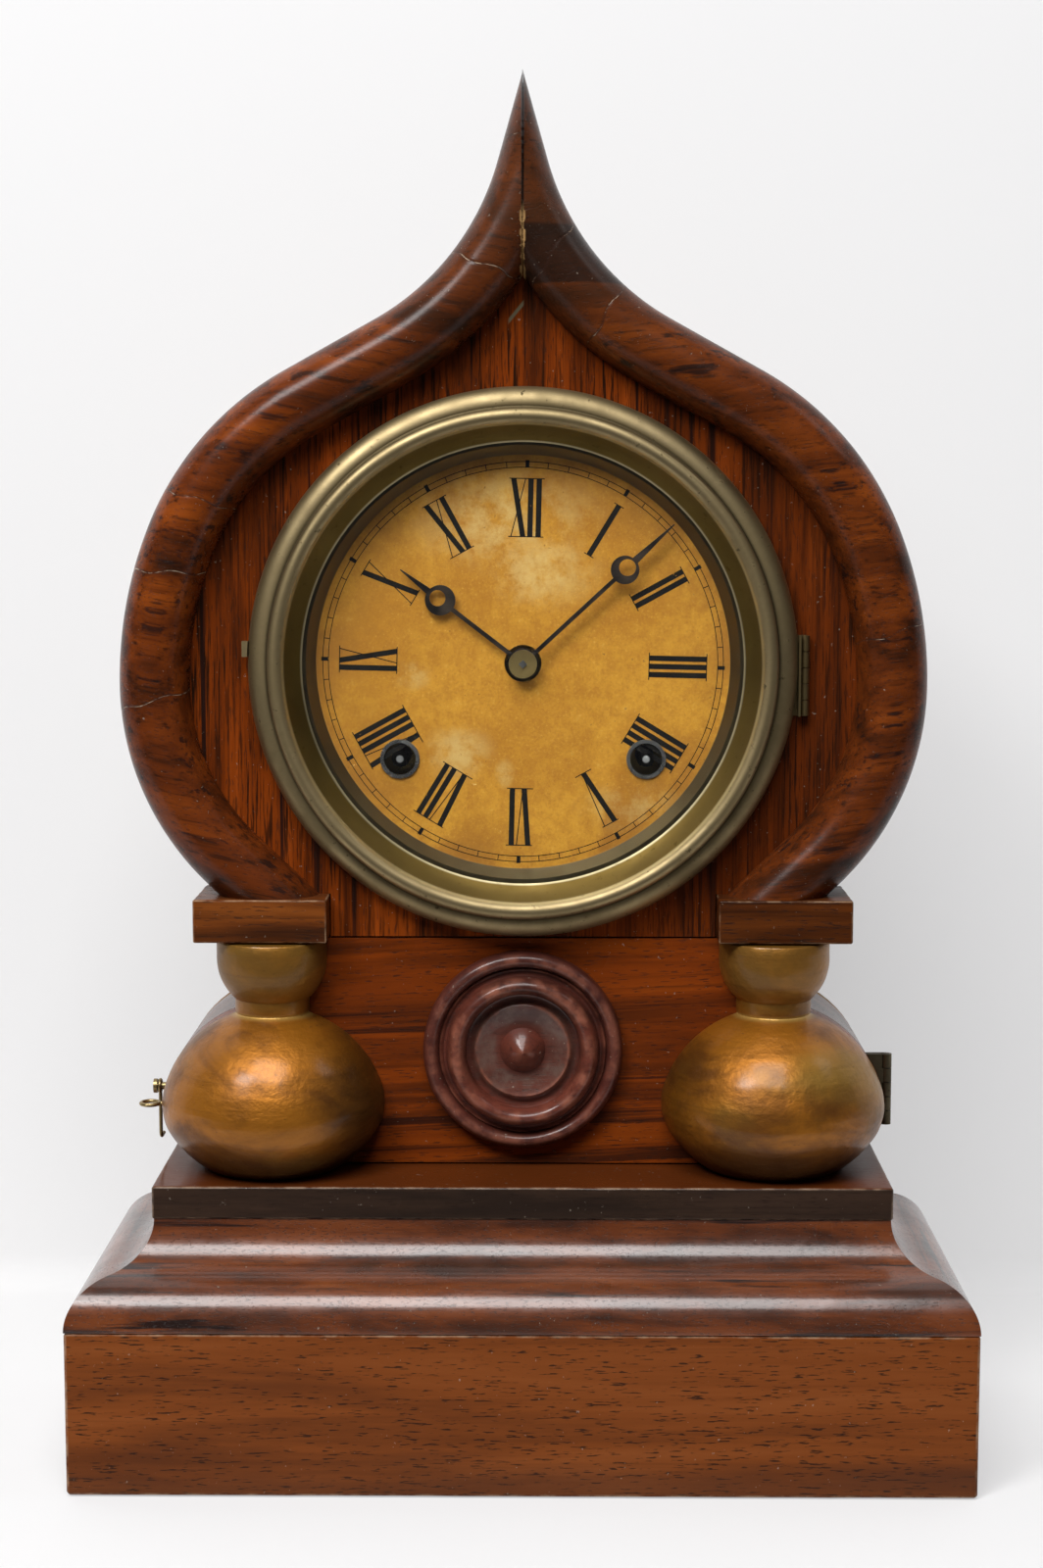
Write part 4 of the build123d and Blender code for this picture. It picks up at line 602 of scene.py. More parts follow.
def standing_blades(tree, colour):
    """Short dark upright marks close together, a darker right-hand side that is painted shade, and a pale smear
    of old putty in the corner under the spire."""
    place = here(tree)
    blades = noise(tree, place, (1000, 1000, 42), 3.0, 3, 0.6)
    thick = noise(tree, place, (60, 60, 25), 5.0, 3)
    marks = both(tree, ranged(tree, blades, 0.50, 0.60), ranged(tree, thick, 0.32, 0.60, 0.25, 0.95))
    colour = mixed(tree, marks, colour, (0.014, 0.006, 0.003, 1))
    across, _, level = add(tree, "SeparateXYZ", {0: place}).outputs
    slant = sums(tree, "SUBTRACT", level, both(tree, across, 1.2))
    smear = both(tree, ranged(tree, slant, 0.3712, 0.3720), ranged(tree, slant, 0.3736, 0.3728))
    smear = both(tree, smear, ranged(tree, sums(tree, "ABSOLUTE", across, 0.0), 0.0050, 0.0040))
    smear = both(tree, smear, ranged(tree, across, 0.0006, -0.0002))
    # Painted shade: the right-hand side of the panel is darkened.
    colour = mixed(tree, ranged(tree, across, 0.03, 0.085, 0.0, 0.45), colour, (0.030, 0.008, 0.003, 1))
    return mixed(tree, smear, colour, (0.15, 0.128, 0.075, 1))


panel_rosewood = varnished(
    "panel_rosewood", (0, 90, 0), 12.0, pale=(0.290, 0.055, 0.006), middle=(0.165, 0.029, 0.003),
    dark=(0.024, 0.007, 0.003), streaks=0.95, lines=0.7, pores=0.5, rough=0.27, rubbed=(0.3, 0.16, 0.08), edges=0.0,
    coat=0.05, tie=standing_blades)
dress(panel_rosewood, "dial_panel")

# Onion moulding: a bold half-round on each side, built up and veneered in short pieces whose grain runs nearly
# level, so it crosses the moulding at the widest part. The seams have opened and show as thin pale lines.
onion_low, onion_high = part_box("onion_moulding_right")
ONION_FOOT, ONION_HALF, ONION_FACE = onion_low[2], onion_high[0], onion_high[1]
ONION_WIDEST = ONION_FOOT + 68.5 * MM
MOULDING_HALF, MOULDING_RISE = 11.3 * MM, 13.5 * MM


def onion_line(stations):
    """The outline's heading turns at a steady rate in each stretch: foot run, lower arc, upper arc, shoulder arc,
    straight run, hollow arc and spire. The points are the running sum of the headings, set so that the widest
    point lies where it is known. Gives points, outward normals and the length from the foot."""
    stretch = [(60.0, -46, -46), (90.3 * math.radians(46), -46, 0), (134.0 * math.radians(22), 0, 22),
               (100.0 * math.radians(39), 22, 61), (33.4, 61, 61), (81.8 * math.radians(45), 61, 16), (90.0, 16, 16)]
    ends = np.cumsum([0] + [s[0] for s in stretch])
    s = np.linspace(0, ends[-1], 6000)
    facing = np.zeros_like(s)
    for (length, one, two), start in zip(stretch, ends):
        inside = (s >= start) & (s <= start + length)
        facing[inside] = one + (two - one) * (s[inside] - start) / length
    facing = np.radians(facing)
    step = np.diff(s)
    middle = (facing[1:] + facing[:-1]) / 2
    x = np.concatenate([[0], np.cumsum(-np.sin(middle) * step)])
    z = np.concatenate([[0], np.cumsum(np.cos(middle) * step)])
    widest = np.searchsorted(s, ends[2])
    x += ONION_HALF / MM - x[widest]
    z += ONION_WIDEST / MM - z[widest]
    keep = (z > ONION_FOOT / MM - 26) & (x > 0.1)
    pick = np.linspace(0, keep.sum() - 1, stations).astype(int)
    line = np.c_[x, z][keep][pick] * MM
    normal = np.c_[np.cos(facing), np.sin(facing)][keep][pick]
    return line, normal, s[keep][pick] * MM


def onion_moulding(node, sign, seams):
    """A half ellipse carried along the outline, its outer edge on it. Each line along it stops where it crosses
    the foot's level, the foot is closed by a fan, and what passes the middle seam is pressed flat on it. The mark
    seam is one on the veneer's open joints, which are also cut in."""
    line, normal, length = onion_line(1100)
    phi = np.linspace(0, np.pi, 41)
    inwards = MOULDING_HALF * (1 - np.cos(phi))
    rise = MOULDING_RISE * np.sin(phi)
    at = line[:, None, :] - normal[:, None, :] * inwards[None, :, None]
    points = np.stack([sign * at[..., 0], ONION_FACE - rise[None, :] + 0 * at[..., 0], at[..., 1]], -1)
    seam = np.zeros(points.shape[:2])
    for height, slant, width in seams:
        near = np.argmin(np.abs(line[:, 1] - height * MM))
        shift = length[:, None] - length[near] - slant * inwards[None, :] - 0.0006 * np.sin(phi * 5 + height)
        seam = np.maximum(seam, np.exp(-(shift / (width * MM)) ** 2))
    lumps = ripple(points, 0.012, 0.16 * MM) + 0.22 * MM * seam
    facing = np.stack([sign * normal[:, None, 0] * np.cos(phi), -np.sin(phi)[None, :] + 0 * at[..., 0],
                       normal[:, None, 1] * np.cos(phi)], -1)
    points = points - facing * np.maximum(lumps, 0)[..., None] * np.sin(phi)[None, :, None]
    below = points[..., 2] < ONION_FOOT
    first, column = np.argmin(below, 0), np.arange(len(phi))
    under, over = points[first - 1, column], points[first, column]
    share = (ONION_FOOT - under[:, 2]) / (over[:, 2] - under[:, 2])
    points = np.where(below[..., None], (under + (over - under) * share[:, None])[None], points)
    points[..., 0] = sign * np.maximum(sign * points[..., 0], 0.1 * MM)
    points = np.concatenate([np.repeat(points[:1].mean(1, keepdims=True), len(phi), 1), points])
    seam = np.concatenate([seam[:1], seam])
    return piece("veneered_" + node, points, grid_faces(*points.shape[:2], True), "case",
                 [node], {"seam": seam})


mouldings = [
    onion_moulding("onion_moulding_left", -1, [(243, 0.25, 0.30), (288, 0.28, 0.34), (314, 0.3, 0.26), (388, 0.25,
    0.28), (424, 0.1, 0.2)]),
    onion_moulding("onion_moulding_right", 1, [(397, -0.35, 0.24), (378, -0.15, 0.22), (272, -0.2, 0.18)])]


LET_IN_LOW, LET_IN_HIGH = 377.5 * MM, 397.0 * MM
FILLER_LOW, FILLER_HIGH = 374.0 * MM, 404.0 * MM


def opened_seams(tree, colour):
    """Browner towards the tip, a dark patch let in on the right of the spire, pale dusty lines where the veneer's
    joints have opened, short cracks beside the middle seam, and tan filler in its lower part."""
    seam = add(tree, "Attribute", attribute_name="seam").outputs["Fac"]
    place = here(tree)
    across, _, level = add(tree, "SeparateXYZ", {0: place}).outputs
    colour = mixed(tree, ranged(tree, level, 0.335, 0.400, 0.0, 0.6), colour, (0.050, 0.019, 0.008, 1))
    let_in = both(
        tree, ranged(tree, level, LET_IN_LOW, LET_IN_LOW + 1.0 * MM),
        ranged(tree, level, LET_IN_HIGH, LET_IN_HIGH - 1.5 * MM))
    let_in = both(tree, let_in, ranged(tree, across, 0.0, 0.0005, 0.0, 0.8))
    colour = mixed(tree, let_in, colour, (0.012, 0.007, 0.005, 1))
    broken = ranged(tree, noise(tree, place, (300, 300, 300), 6.0, 3), 0.40, 0.60)
    colour = mixed(tree, ranged(tree, seam, 0.05, 0.5, 0.0, 0.55), colour, (0.03, 0.013, 0.009, 1))
    colour = mixed(tree, both(tree, ranged(tree, seam, 0.55, 0.95), broken), colour, (0.40, 0.29, 0.20, 1))
    aside = sums(tree, "ABSOLUTE", across, 0.0)
    cracks = ranged(tree, noise(tree, place, (150, 150, 1100), 9.0, 3, 0.6), 0.60, 0.66)
    cracks = both(tree, cracks, both(tree, ranged(tree, aside, 0.006, 0.001), ranged(tree, level, 0.385, 0.400)))
    colour = mixed(tree, both(tree, cracks, 0.85), colour, (0.008, 0.005, 0.004, 1))
    joint = sums(tree, "ADD", aside, ranged(tree, broken, 0.0, 1.0, 0.0003, -0.0003))
    filled = both(
        tree, ranged(tree, level, FILLER_LOW, FILLER_LOW + 4.0 * MM),
        ranged(tree, level, FILLER_HIGH, FILLER_HIGH - 8.0 * MM))
    colour = mixed(tree, ranged(tree, aside, 0.0006, 0.0003, 0.0, 0.9), colour, (0.012, 0.007, 0.005, 1))
    return mixed(tree, both(tree, ranged(tree, joint, 0.0008, 0.0004), filled), colour, (0.34, 0.20, 0.08, 1))


moulding_left_rosewood = varnished(
    "moulding_left_rosewood", (0, -11, 0), 13.0, pale=(0.235, 0.051, 0.006), middle=(0.108, 0.022, 0.004),
    dark=(0.020, 0.007, 0.003), streaks=0.8, lines=0.85, pores=0.35, rough=0.26, rubbed=(0.3, 0.2, 0.14), edges=0.0,
    coat=0.24, tie=opened_seams, shine=0.05, stretch=1.6, haze=0.26, relief=0.8, waves=0.6)
moulding_right_rosewood = varnished(
    "moulding_right_rosewood", (0, 7, 0), 14.3, pale=(0.225, 0.050, 0.006), middle=(0.098, 0.021, 0.004),
    dark=(0.020, 0.007, 0.003), streaks=0.9, lines=0.85, pores=0.35, rough=0.26, rubbed=(0.3, 0.2, 0.14), edges=0.0,
    coat=0.16, tie=opened_seams, shine=0.05, stretch=1.6, haze=0.28, relief=0.7, waves=0.5)
dress(moulding_left_rosewood, mouldings[0])
dress(moulding_right_rosewood, mouldings[1])

# Bezel: a spun brass ring with a rounded flange, a quirk, a bead and a sloping reveal down to the glass.
# The brass has gone olive-grey, gold on the slope, with painted highlights along the slope's two edges.
bezel_low, bezel_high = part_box("bezel_ring")
DIAL_Z, BEZEL_BACK = (bezel_low[2] + bezel_high[2]) / 2, bezel_high[1]


BEZEL_RADIUS, SIGHT_RADIUS, BEAD_RADIUS = 88.5, 70.8, 79.0
FLANGE_ROUND, BEAD_ROUND, SLOPE_RUN = 5.6, 2.6, 5.5


def bezel_profile():
    """Radius and height off the bezel's back: rim, quarter-round flange, quirk, half-round bead, hollow slope,
    sight edge, glass seat and the open back."""
    a = np.linspace(0, np.pi / 2, 14)
    flange = np.c_[BEZEL_RADIUS - FLANGE_ROUND + FLANGE_ROUND * np.cos(a), 1.3 + FLANGE_ROUND * np.sin(a)]
    b = np.linspace(0, np.pi, 18)
    bead = np.c_[BEAD_RADIUS + BEAD_ROUND * np.cos(b), 10.4 + BEAD_ROUND * np.sin(b)]
    c = np.linspace(0, 1, 12)[:, None]
    slope = np.c_[SIGHT_RADIUS + SLOPE_RUN * (1 - c), 10.2 - SLOPE_RUN * c - 0.5 * np.sin(np.pi * c)]
    back = np.array(
        [[SIGHT_RADIUS, 4.25], [73.5, 4.2], [73.5, 0.0], [75.0, 0.0], [75.0, 2.9], [86.7, 2.9], [86.7, 0.0],
        [BEZEL_RADIUS, 0.0]])
    return np.concatenate([flange, [[82.2, 6.8], [81.7, 7.2]], bead, slope, back])


bezel = turned_piece("spun_bezel", bezel_profile(), DIAL_Z, BEZEL_BACK, "bezel", ["bezel_ring"],
                     steps=256, close=True)


def old_brass(name, seed, bright, dull, dark, rough, tie=None):
    """Old brass: dull and bright patches, dark spots and fine rubbing marks."""
    material, tree, shader = blank(name, Metallic=1.0)
    place = here(tree)
    patches = noise(tree, place, (38, 38, 38), seed, 5, 0.6, 0.4)
    spots = noise(tree, place, (420, 420, 420), seed + 2, 3, 0.55)
    rubs = noise(tree, place, (90, 1500, 1500), seed + 4, 2, 0.5)
    colour = mixed(tree, ranged(tree, patches, 0.32, 0.70), (*dull, 1), (*bright, 1))
    colour = mixed(tree, ranged(tree, spots, 0.63, 0.74, 0.0, 0.75), colour, (*dark, 1))
    colour = tie(tree, colour) if tie else colour
    tree.links.new(colour, shader.inputs["Base Color"])
    wear = sums(tree, "ADD", ranged(tree, patches, 0.3, 0.7, 0.10, -0.06), ranged(tree, spots, 0.6, 0.75, 0.0, 0.25))
    tree.links.new(sums(tree, "ADD", wear, rough), shader.inputs["Roughness"])
    marks = add(tree, "Bump", {"Height": rubs, "Strength": 0.06, "Distance": 0.0002})
    pits = add(tree, "Bump", {"Height": spots, "Strength": 0.15, "Distance": 0.0003, "Normal": marks.outputs[0]})
    tree.links.new(pits.outputs[0], shader.inputs["Normal"])
    return material


def bezel_zones(tree, colour):
    """Golden on the slope, painted highlights along its two edges, and dark in the quirk, each read from the radius.
    """
    _, _, radius = about_axis(tree, DIAL_Z)
    colour = mixed(tree, ranged(tree, radius, 0.0766, 0.0760, 0.0, 0.95), colour, (0.100, 0.064, 0.014, 1))
    # The first two bands are painted highlights on the slope's edges; the third darkens the quirk.
    for middle, reach, tint in ((0.0765, 0.0006, (0.50, 0.41, 0.20, 1)), (0.0710, 0.0006, (0.46, 0.40, 0.24, 1)),
                                (0.0820, 0.0010, (0.05, 0.040, 0.022, 1))):
        off = sums(tree, "ABSOLUTE", sums(tree, "SUBTRACT", radius, middle), 0.0)
        colour = mixed(tree, ranged(tree, off, reach, 0.0, 0.0, 0.8), colour, tint)
    return colour


bezel_brass = old_brass("dulled_bezel_brass", 20.0, bright=(0.365, 0.282, 0.148), dull=(0.240, 0.184, 0.094),
                        dark=(0.06, 0.045, 0.022), rough=0.50, tie=bezel_zones)
dress(bezel_brass, bezel, "bezel_catch")

# Glass: a flat old pane, held in the bezel's seat from behind.
# Shadow rays pass it so that the dial stays lit.
glass, tree, shader = blank(
    "old_window_glass", Base_Color=(0.97, 0.985, 0.975, 1), Roughness=0.0, IOR=1.45, Transmission_Weight=1.0)
clear = add(tree, "BsdfTransparent", {"Color": (0.95, 0.97, 0.96, 1)})
shadow = add(tree, "LightPath").outputs["Is Shadow Ray"]
either = add(tree, "MixShader", {0: shadow, 1: shader.outputs[0], 2: clear.outputs[0]})
tree.links.new(either.outputs[0], tree.nodes["Material Output"].inputs["Surface"])
dress(glass, "bezel_glass")

# Dial: a sheet-metal pan, its face painted and gone ochre, with pale rubbed patches near the top and dark spots,
# and a bare brass rim that slopes up to the panel.
# The face's left side and the brass rim are darkened as painted shade.
dial_paint, tree, shader = blank("aged_dial_paint", Specular_IOR_Level=0.12)
_, flat, radius = about_axis(tree, DIAL_Z)
cloud = noise(tree, flat, (30, 30, 30), 1.0, 5, 0.6, 0.8)
grain = noise(tree, flat, (260, 260, 260), 2.0, 4, 0.65)
paint = mixed(tree, ranged(tree, cloud, 0.30, 0.70), (0.295, 0.124, 0.011, 1), (0.415, 0.199, 0.020, 1))
paint = mixed(tree, ranged(tree, grain, 0.58, 0.40, 0.0, 0.35), paint, (0.240, 0.094, 0.011, 1))
speckle = noise(tree, flat, (1100, 1100, 1100), 6.0, 3, 0.6)
paint = mixed(tree, ranged(tree, speckle, 0.50, 0.34, 0.0, 0.30), paint, (0.200, 0.080, 0.010, 1))
paint = mixed(tree, ranged(tree, speckle, 0.56, 0.72, 0.0, 0.35), paint, (0.560, 0.330, 0.080, 1))


def rubbed_patch(x, z, reach, wide, seed):
    """A mask that fades out from a point on the dial and is broken up by noise."""
    away = add(tree, "VectorMath", {0: flat, 1: (x, 0, z)}, operation="SUBTRACT").outputs[0]
    away = add(tree, "VectorMath", {0: away, 1: (1 / wide, 1, 1)}, operation="MULTIPLY").outputs[0]
    near = ranged(tree, add(tree, "VectorMath", {0: away}, operation="LENGTH").outputs["Value"], reach, reach * 0.15)
    return both(tree, near, ranged(tree, noise(tree, flat, (85, 85, 85), seed, 5, 0.72), 0.40, 0.62))


rub = rubbed_patch(-0.006, 0.047, 0.022, 1.8, 3.0)
for spot in ((0.006, 0.030, 0.016, 1.5, 3.4), (-0.036, -0.004, 0.006, 1.4, 4.1), (-0.021, -0.029, 0.012, 1.2, 4.7),
             (0.036, -0.047, 0.010, 2.2, 5.3), (-0.006, -0.036, 0.006, 0.7, 5.9)):
    rub = sums(tree, "MAXIMUM", rub, rubbed_patch(*spot))
paint = mixed(tree, both(tree, rub, 0.7), paint, (0.46, 0.315, 0.115, 1))
paint = mixed(tree, ranged(tree, grain, 0.60, 0.75, 0.0, 0.45), paint, (0.52, 0.31, 0.075, 1))
# Painted shade: the left side of the face is darkened.
leftward = add(tree, "SeparateXYZ", {0: flat}).outputs["X"]
paint = mixed(tree, ranged(tree, leftward, -0.015, -0.060, 0.0, 0.38), paint, (0.225, 0.094, 0.009, 1))
stain = both(tree, ranged(tree, radius, 0.045, 0.067), ranged(tree, cloud, 0.62, 0.40))
paint = mixed(tree, both(tree, stain, 0.5), paint, (0.20, 0.082, 0.014, 1))
spots = noise(tree, flat, (520, 520, 520), 4.0, 2, 0.5)
paint = mixed(tree, ranged(tree, spots, 0.68, 0.75, 0.0, 0.7), paint, (0.13, 0.058, 0.014, 1))
flakes = ranged(tree, noise(tree, flat, (170, 170, 170), 5.0, 4, 0.75), 0.66, 0.73)
paint = mixed(tree, both(tree, flakes, 0.75), paint, (0.60, 0.43, 0.18, 1))
# Painted shade: the brass rim is much darker than bare brass.
rim = ranged(tree, radius, 0.0668, 0.0672)
face = mixed(tree, rim, paint, (0.135, 0.108, 0.058, 1))
tree.links.new(face, shader.inputs["Base Color"])
tree.links.new(rim, shader.inputs["Metallic"])
tree.links.new(sums(tree, "SUBTRACT", ranged(tree, grain, 0.3, 0.7, 0.50, 0.62), both(tree, rim, 0.22)),
               shader.inputs["Roughness"])
bump = add(tree, "Bump", {"Height": sums(tree, "ADD", grain, flakes), "Strength": 0.12, "Distance": 0.0003})
tree.links.new(bump.outputs[0], shader.inputs["Normal"])
dress(dial_paint, "dial_pan")

# Dial printing: a double minute ring with heavier five-minute bars, and tall Roman hours with their feet inwards,
# thick strokes and hairlines between thin serifs. The whole print sits a little clockwise.
DIAL_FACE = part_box("dial_panel")[0][1] + 3.0 * MM
INK_FRONT, INK_BACK = DIAL_FACE - 0.06 * MM, DIAL_FACE + 0.02 * MM


def stroke_block(corners):
    """Flat strokes given by four corners each, as thin blocks: corners at the front and again at the back."""
    corners = np.asarray(corners, float)
    front = np.stack([corners[..., 0], np.full(corners.shape[:2], INK_FRONT), corners[..., 1]], -1)
    back = front.copy()
    back[..., 1] = INK_BACK
    points = np.concatenate([front, back], 1).reshape(-1, 3)
    one = np.array([[0, 1, 2, 3], [7, 6, 5, 4], [0, 4, 5, 1], [1, 5, 6, 2], [2, 6, 7, 3], [3, 7, 4, 0]])
    faces = (np.arange(len(corners))[:, None, None] * 8 + one[None]).reshape(-1, 4)
    return points, faces


def numeral_strokes(letters):
    """Strokes of one hour, laid side by side: I is a thick upright, V a thick and a thin slant, X a thick slant
    crossed by a thin one. Each stroke is a slanted bar between the feet and the tops."""
    thick, thin, foot, top = 1.75, 0.32, 40.8, 59.4
    widths = {"I": 2.65, "V": 5.0, "X": 5.2}
    left = -sum(widths[c] for c in letters) / 2
    bars = []
    for c in letters:
        right = left + widths[c]
        middle = (left + right) / 2
        if c == "I":
            bars.append((middle, middle, thick))
        elif c == "V":
            bars += [(middle, left + 0.9, thick), (middle + 0.4, right - 0.35, thin)]
        else:
            bars += [(right - 0.95, left + 0.95, thick), (left + 0.4, right - 0.4, thin)]
        left = right
    strokes = [[(low - w / 2, foot), (low + w / 2, foot), (high + w / 2, top), (high - w / 2, top)]
               for low, high, w in bars]
    half = sum(widths[c] for c in letters) / 2 + 0.45
    strokes += [[(-half, level - 0.15), (half, level - 0.15), (half, level + 0.15), (-half, level + 0.15)]
                for level in (foot, top)]
    return np.array(strokes)


def turned_about_dial(strokes, degrees):
    """Strokes turned clockwise about the dial's centre."""
    a = math.radians(degrees)
    x, z = strokes[..., 0], strokes[..., 1]
    return np.stack([x * math.cos(a) + z * math.sin(a), z * math.cos(a) - x * math.sin(a)], -1)


print_turn = 1.3
hours = ["I", "II", "III", "IIII", "V", "VI", "VII", "VIII", "IX", "X", "XI", "XII"]
ink = [turned_about_dial(numeral_strokes(hour), 30 * (k + 1) + print_turn) for k, hour in enumerate(hours)]
RING_INNER, RING_OUTER, HAIRLINE = 63.0, 64.8, 0.12
tick = np.array([[(-0.13, RING_INNER), (0.13, RING_INNER), (0.13, RING_OUTER), (-0.13, RING_OUTER)]])
bar = np.array([[(-0.62, 62.9), (0.62, 62.9), (0.62, 65.3), (-0.62, 65.3)]])
ink += [turned_about_dial(bar if k % 5 == 0 else tick, 6 * k + print_turn) for k in range(60)]
arc = np.radians(np.linspace(0, 360, 241))
for middle in (RING_INNER, RING_OUTER):
    inner, outer = middle - HAIRLINE, middle + HAIRLINE
    ring = np.stack([np.sin(arc), np.cos(arc)], -1)
    ink.append(np.stack([ring[:-1] * inner, ring[1:] * inner, ring[1:] * outer, ring[:-1] * outer], 1))
points, faces = stroke_block(np.concatenate(ink) * MM)
points[:, 2] += DIAL_Z
dial_print = piece("dial_print", points, faces, "case", crease=20)
print_ink, tree, shader = blank("worn_black_ink", Roughness=0.75, Specular_IOR_Level=0.1)
place = here(tree)
gone = noise(tree, place, (330, 330, 330), 8.0, 4, 0.7)
tree.links.new(mixed(tree, ranged(tree, gone, 0.66, 0.74), (0.006, 0.005, 0.004, 1), (0.30, 0.14, 0.025, 1)),
               shader.inputs["Base Color"])
dress(print_ink, dial_print)

# Hands: blued sheet steel, nearly black, each with a ring near its point and a hole off its centre.
# The gong's coil and the mainsprings are of the same steel.
hand_steel, tree, shader = blank("blued_hand_steel", Metallic=0.8)
place = here(tree)
bloom = noise(tree, place, (140, 140, 140), 1.0, 4, 0.6)
tree.links.new(mixed(tree, ranged(tree, bloom, 0.35, 0.72), (0.012, 0.011, 0.012, 1), (0.045, 0.032, 0.024, 1)),
               shader.inputs["Base Color"])
tree.links.new(ranged(tree, bloom, 0.3, 0.7, 0.32, 0.55), shader.inputs["Roughness"])
dress(hand_steel, "hour_hand", "minute_hand", "gong_coil", "mainsprings")

# Small brass: the bezel's hinge, the screw eye, the hook and its screw, tarnished brown.
# The door's hinge is brass too, gone nearly black with handling.
small_brass = old_brass("tarnished_small_brass", 30.0, bright=(0.36, 0.27, 0.13), dull=(0.20, 0.145, 0.065),
                        dark=(0.05, 0.035, 0.018), rough=0.38)
dress(small_brass, "bezel_hinge_panel_leaf", "bezel_hinge_ring_leaf", "screw_eye", "hook", "hook_screw")
hinge_brass = old_brass("browned_hinge_brass", 35.0, bright=(0.120, 0.098, 0.060), dull=(0.060, 0.048, 0.030),
                        dark=(0.02, 0.015, 0.010), rough=0.45)
dress(hinge_brass, "door_hinge_case_leaf", "door_hinge_door_leaf")

# Movement: brass plates and wheels between steel pillars, with steel arbors, all a little dulled inside the case.
# The winding squares are painted black as the shade of their holes, but for their ends, and the gong stands on cast
# iron.
wheel_brass = old_brass(
    "movement_brass", 40.0, bright=(0.62, 0.46, 0.19), dull=(0.46, 0.33, 0.13), dark=(0.16, 0.10, 0.04), rough=0.28)
dress(wheel_brass, "front_plate", "back_plate", "second_wheel", "centre_wheel", "third_wheel", "escape_wheel",
      "minute_wheel", "hour_wheel", "time_great_wheel", "strike_great_wheel", "strike_pin_wheel", "strike_fly",
      "hand_bush", "pendulum_bob")
arbor_steel = old_brass(
    "arbor_steel", 50.0, bright=(0.52, 0.52, 0.51), dull=(0.36, 0.355, 0.345), dark=(0.10, 0.07, 0.05), rough=0.24)
dress(arbor_steel, "plate_pillars", "centre_arbor", "verge", "pendulum_rod", "hammer", "winding_grommets")
arbor_low, arbor_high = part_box("time_winding_arbor")
ARBOR_X, ARBOR_Z = abs(arbor_low[0] + arbor_high[0]) / 2, (arbor_low[2] + arbor_high[2]) / 2


def bright_tip(tree, colour):
    """Bright in the middle of the square's end, where a key has rubbed; black outside that, a painted shade of the
    hole.
    """
    across, _, level = add(tree, "SeparateXYZ", {0: here(tree)}).outputs
    aside = sums(tree, "SUBTRACT", sums(tree, "ABSOLUTE", across, 0.0), ARBOR_X)
    away = add(tree, "CombineXYZ", {0: aside, 1: sums(tree, "SUBTRACT", level, ARBOR_Z)}).outputs[0]
    away = add(tree, "VectorMath", {0: away}, operation="LENGTH").outputs["Value"]
    return mixed(tree, ranged(tree, away, 0.0014, 0.0009), (0.010, 0.009, 0.008, 1), (0.62, 0.62, 0.61, 1))


key_steel = old_brass(
    "key_steel_painted_black", 55.0, bright=(0.13, 0.128, 0.125), dull=(0.06, 0.058, 0.055), dark=(0.02, 0.015, 0.012),
    rough=0.40, tie=bright_tip)
dress(key_steel, "time_winding_arbor", "strike_winding_arbor")
black_iron = old_brass(
    "black_iron", 60.0, bright=(0.055, 0.052, 0.05), dull=(0.03, 0.028, 0.027), dark=(0.10, 0.05, 0.03), rough=0.55)
dress(black_iron, "gong_stand")

# Stage: a white table that curves up into a near wall, both plain. Seen from behind, the sheet is clear.
# It is matt, and camera rays see it partly as plain white.
WALL_Y = 160.0 * MM


def cove_sheet(half_width, front, top, radius):
    """A floor line, a quarter-round cove and a wall line, carried sideways."""
    a = np.linspace(0, np.pi / 2, 24)
    cove = np.c_[WALL_Y - radius + radius * np.sin(a), radius - radius * np.cos(a)]
    line = np.concatenate([[[front, 0]], cove, [[WALL_Y, top]]])
    x = np.array([-half_width, half_width])[:, None]
    points = np.stack([x + 0 * line[None, :, 0], line[None, :, 0] + 0 * x, line[None, :, 1] + 0 * x], -1)
    return points.reshape(-1, 3), grid_faces(2, len(line), False)


points, faces = cove_sheet(half_width=1.6, front=-0.26, top=1.9, radius=0.012)
mesh = bpy.data.meshes.new("white_cove")
mesh.from_pydata((points - [0, 0, 0.0004]).tolist(), [], faces[:, ::-1].tolist())
mesh.shade_smooth()
cove = bpy.data.objects.new("white_cove", mesh)
bpy.context.scene.collection.objects.link(cove)
white, tree, shader = blank("white_paper", Base_Color=(0.80, 0.79, 0.785, 1), Roughness=0.9, Specular_IOR_Level=0.1)
paper_white = add(tree, "Emission", {"Color": (0.90, 0.905, 0.92, 1), "Strength": 1.0})
seen = add(tree, "LightPath").outputs
straight = sums(
    tree, "MAXIMUM", seen["Is Camera Ray"],
    sums(tree, "MAXIMUM", seen["Is Glossy Ray"], seen["Is Transmission Ray"]))
paper = add(tree, "MixShader", {0: both(tree, straight, 0.5), 1: shader.outputs[0], 2: paper_white.outputs[0]})
behind = both(tree, add(tree, "NewGeometry").outputs["Backfacing"], seen["Is Camera Ray"])
paper = add(tree, "MixShader", {0: behind, 1: paper.outputs[0], 2: add(tree, "BsdfTransparent").outputs[0]})
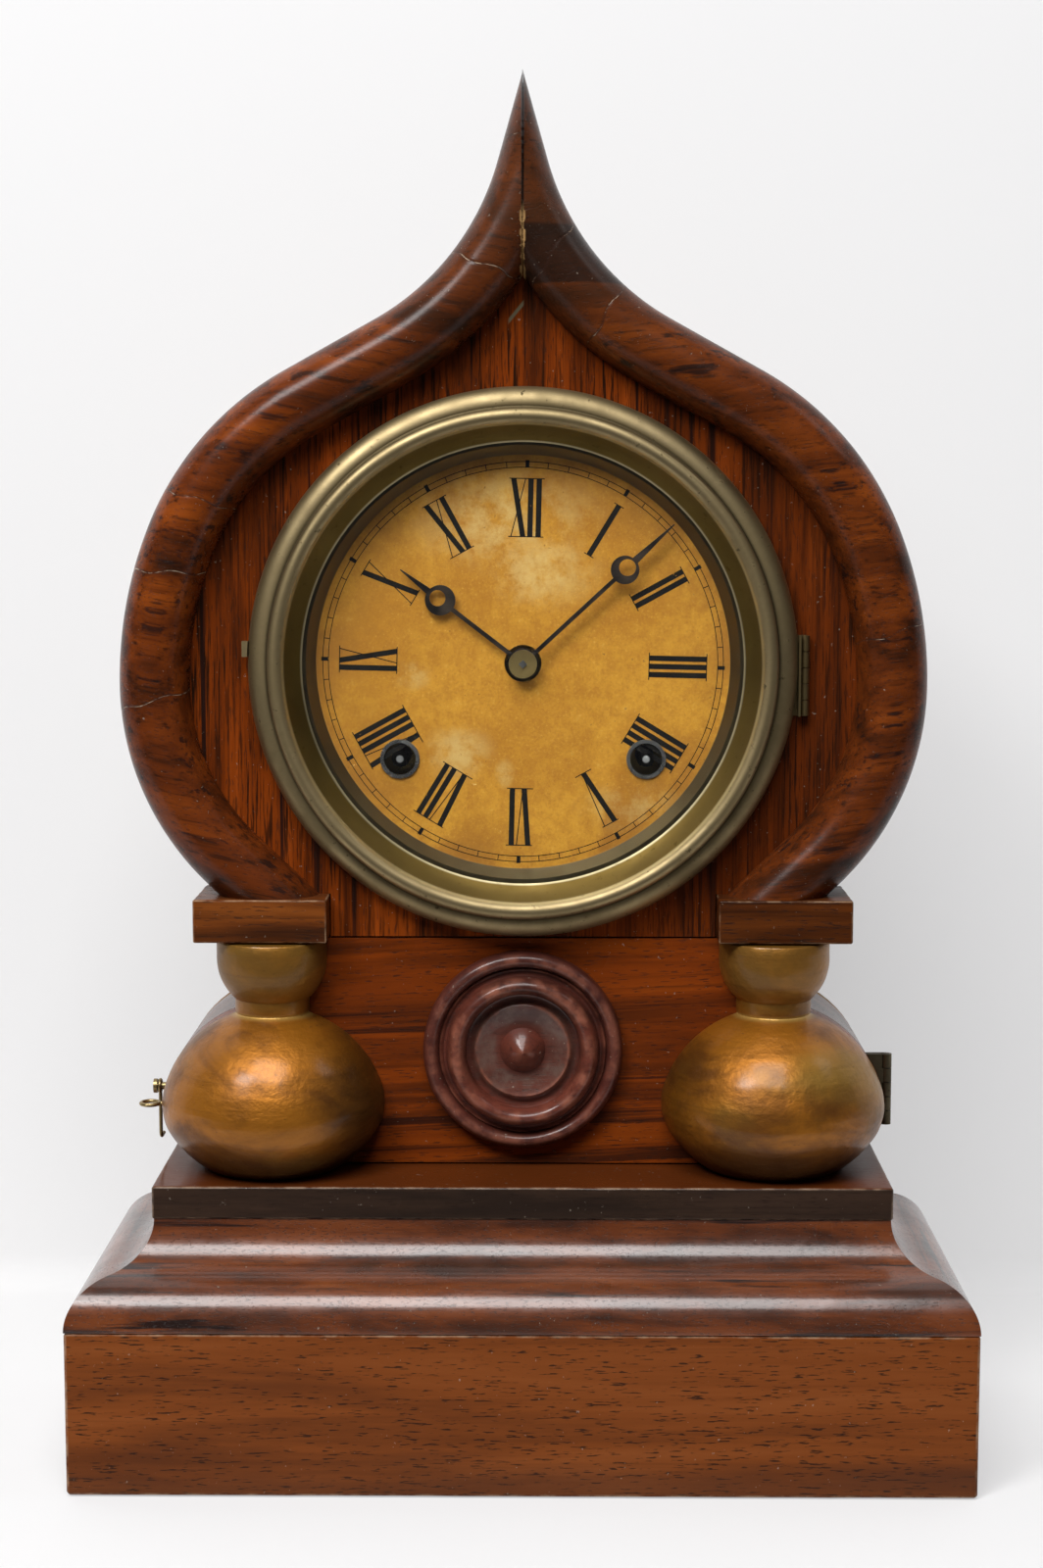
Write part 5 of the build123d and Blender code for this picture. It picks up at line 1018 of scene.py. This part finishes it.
tree.links.new(paper.outputs[0], tree.nodes["Material Output"].inputs["Surface"])
mesh.materials.append(white)

# Light: a soft light above the camera, a second high at the left, a weak one at the upper right and a dim room,
# so that the polish shows a few long highlights and no grey veil.


def soft_light(name, at, aim, width, power, height=None):
    """A rectangular lamp at one point that faces another."""
    lamp = bpy.data.lights.new(name, "AREA")
    lamp.shape = "RECTANGLE"
    lamp.size, lamp.size_y, lamp.energy = width, height or width, power
    thing = bpy.data.objects.new(name, lamp)
    bpy.context.scene.collection.objects.link(thing)
    offset = np.array(aim) - np.array(at)
    yaw = math.atan2(-offset[0], offset[1])
    pitch = math.atan2(offset[2], math.hypot(offset[0], offset[1]))
    thing.location = at
    thing.rotation_euler = (math.pi / 2 + pitch, 0, yaw)
    return thing


soft_light("overhead_softbox", at=(-0.10, -0.8, 1.35), aim=(0, 0, 0.15), width=0.8, power=17.5, height=0.66)
soft_light("left_softbox", at=(-0.70, -0.9, 1.28), aim=(0, 0, 0.22), width=0.40, power=13.0)
soft_light("right_softbox", at=(1.1, -0.1, 1.3), aim=(0, 0, 0.3), width=0.4, power=1.6)
world = bpy.data.worlds.new("dim_room")
bpy.context.scene.world = world
world.use_nodes = True
direct = add(world.node_tree, "LightPath").outputs["Is Camera Ray"]
world.node_tree.links.new(
    mixed(world.node_tree, direct, (0.055, 0.056, 0.060, 1), (0.90, 0.905, 0.92, 1)),
    world.node_tree.nodes["Background"].inputs["Color"])
world.node_tree.nodes["Background"].inputs["Strength"].default_value = 1.0

# Camera: level with the dial's top, looking down a little, as far off as the base's lines say.
# The lens is a short portrait one with no blur.
lens = bpy.data.cameras.new("portrait_lens")
lens.sensor_fit = "VERTICAL"
lens.sensor_height = 36.0
lens.lens = 57.4
lens.clip_start = 0.05
camera = bpy.data.objects.new("camera", lens)
bpy.context.scene.collection.objects.link(camera)
camera.location = (0.008, -0.808, 0.3093)
camera.rotation_euler = (math.radians(90 - 6.4), 0, math.radians(0.6))
bpy.context.scene.camera = camera
bpy.context.scene.view_settings.view_transform = "Standard"
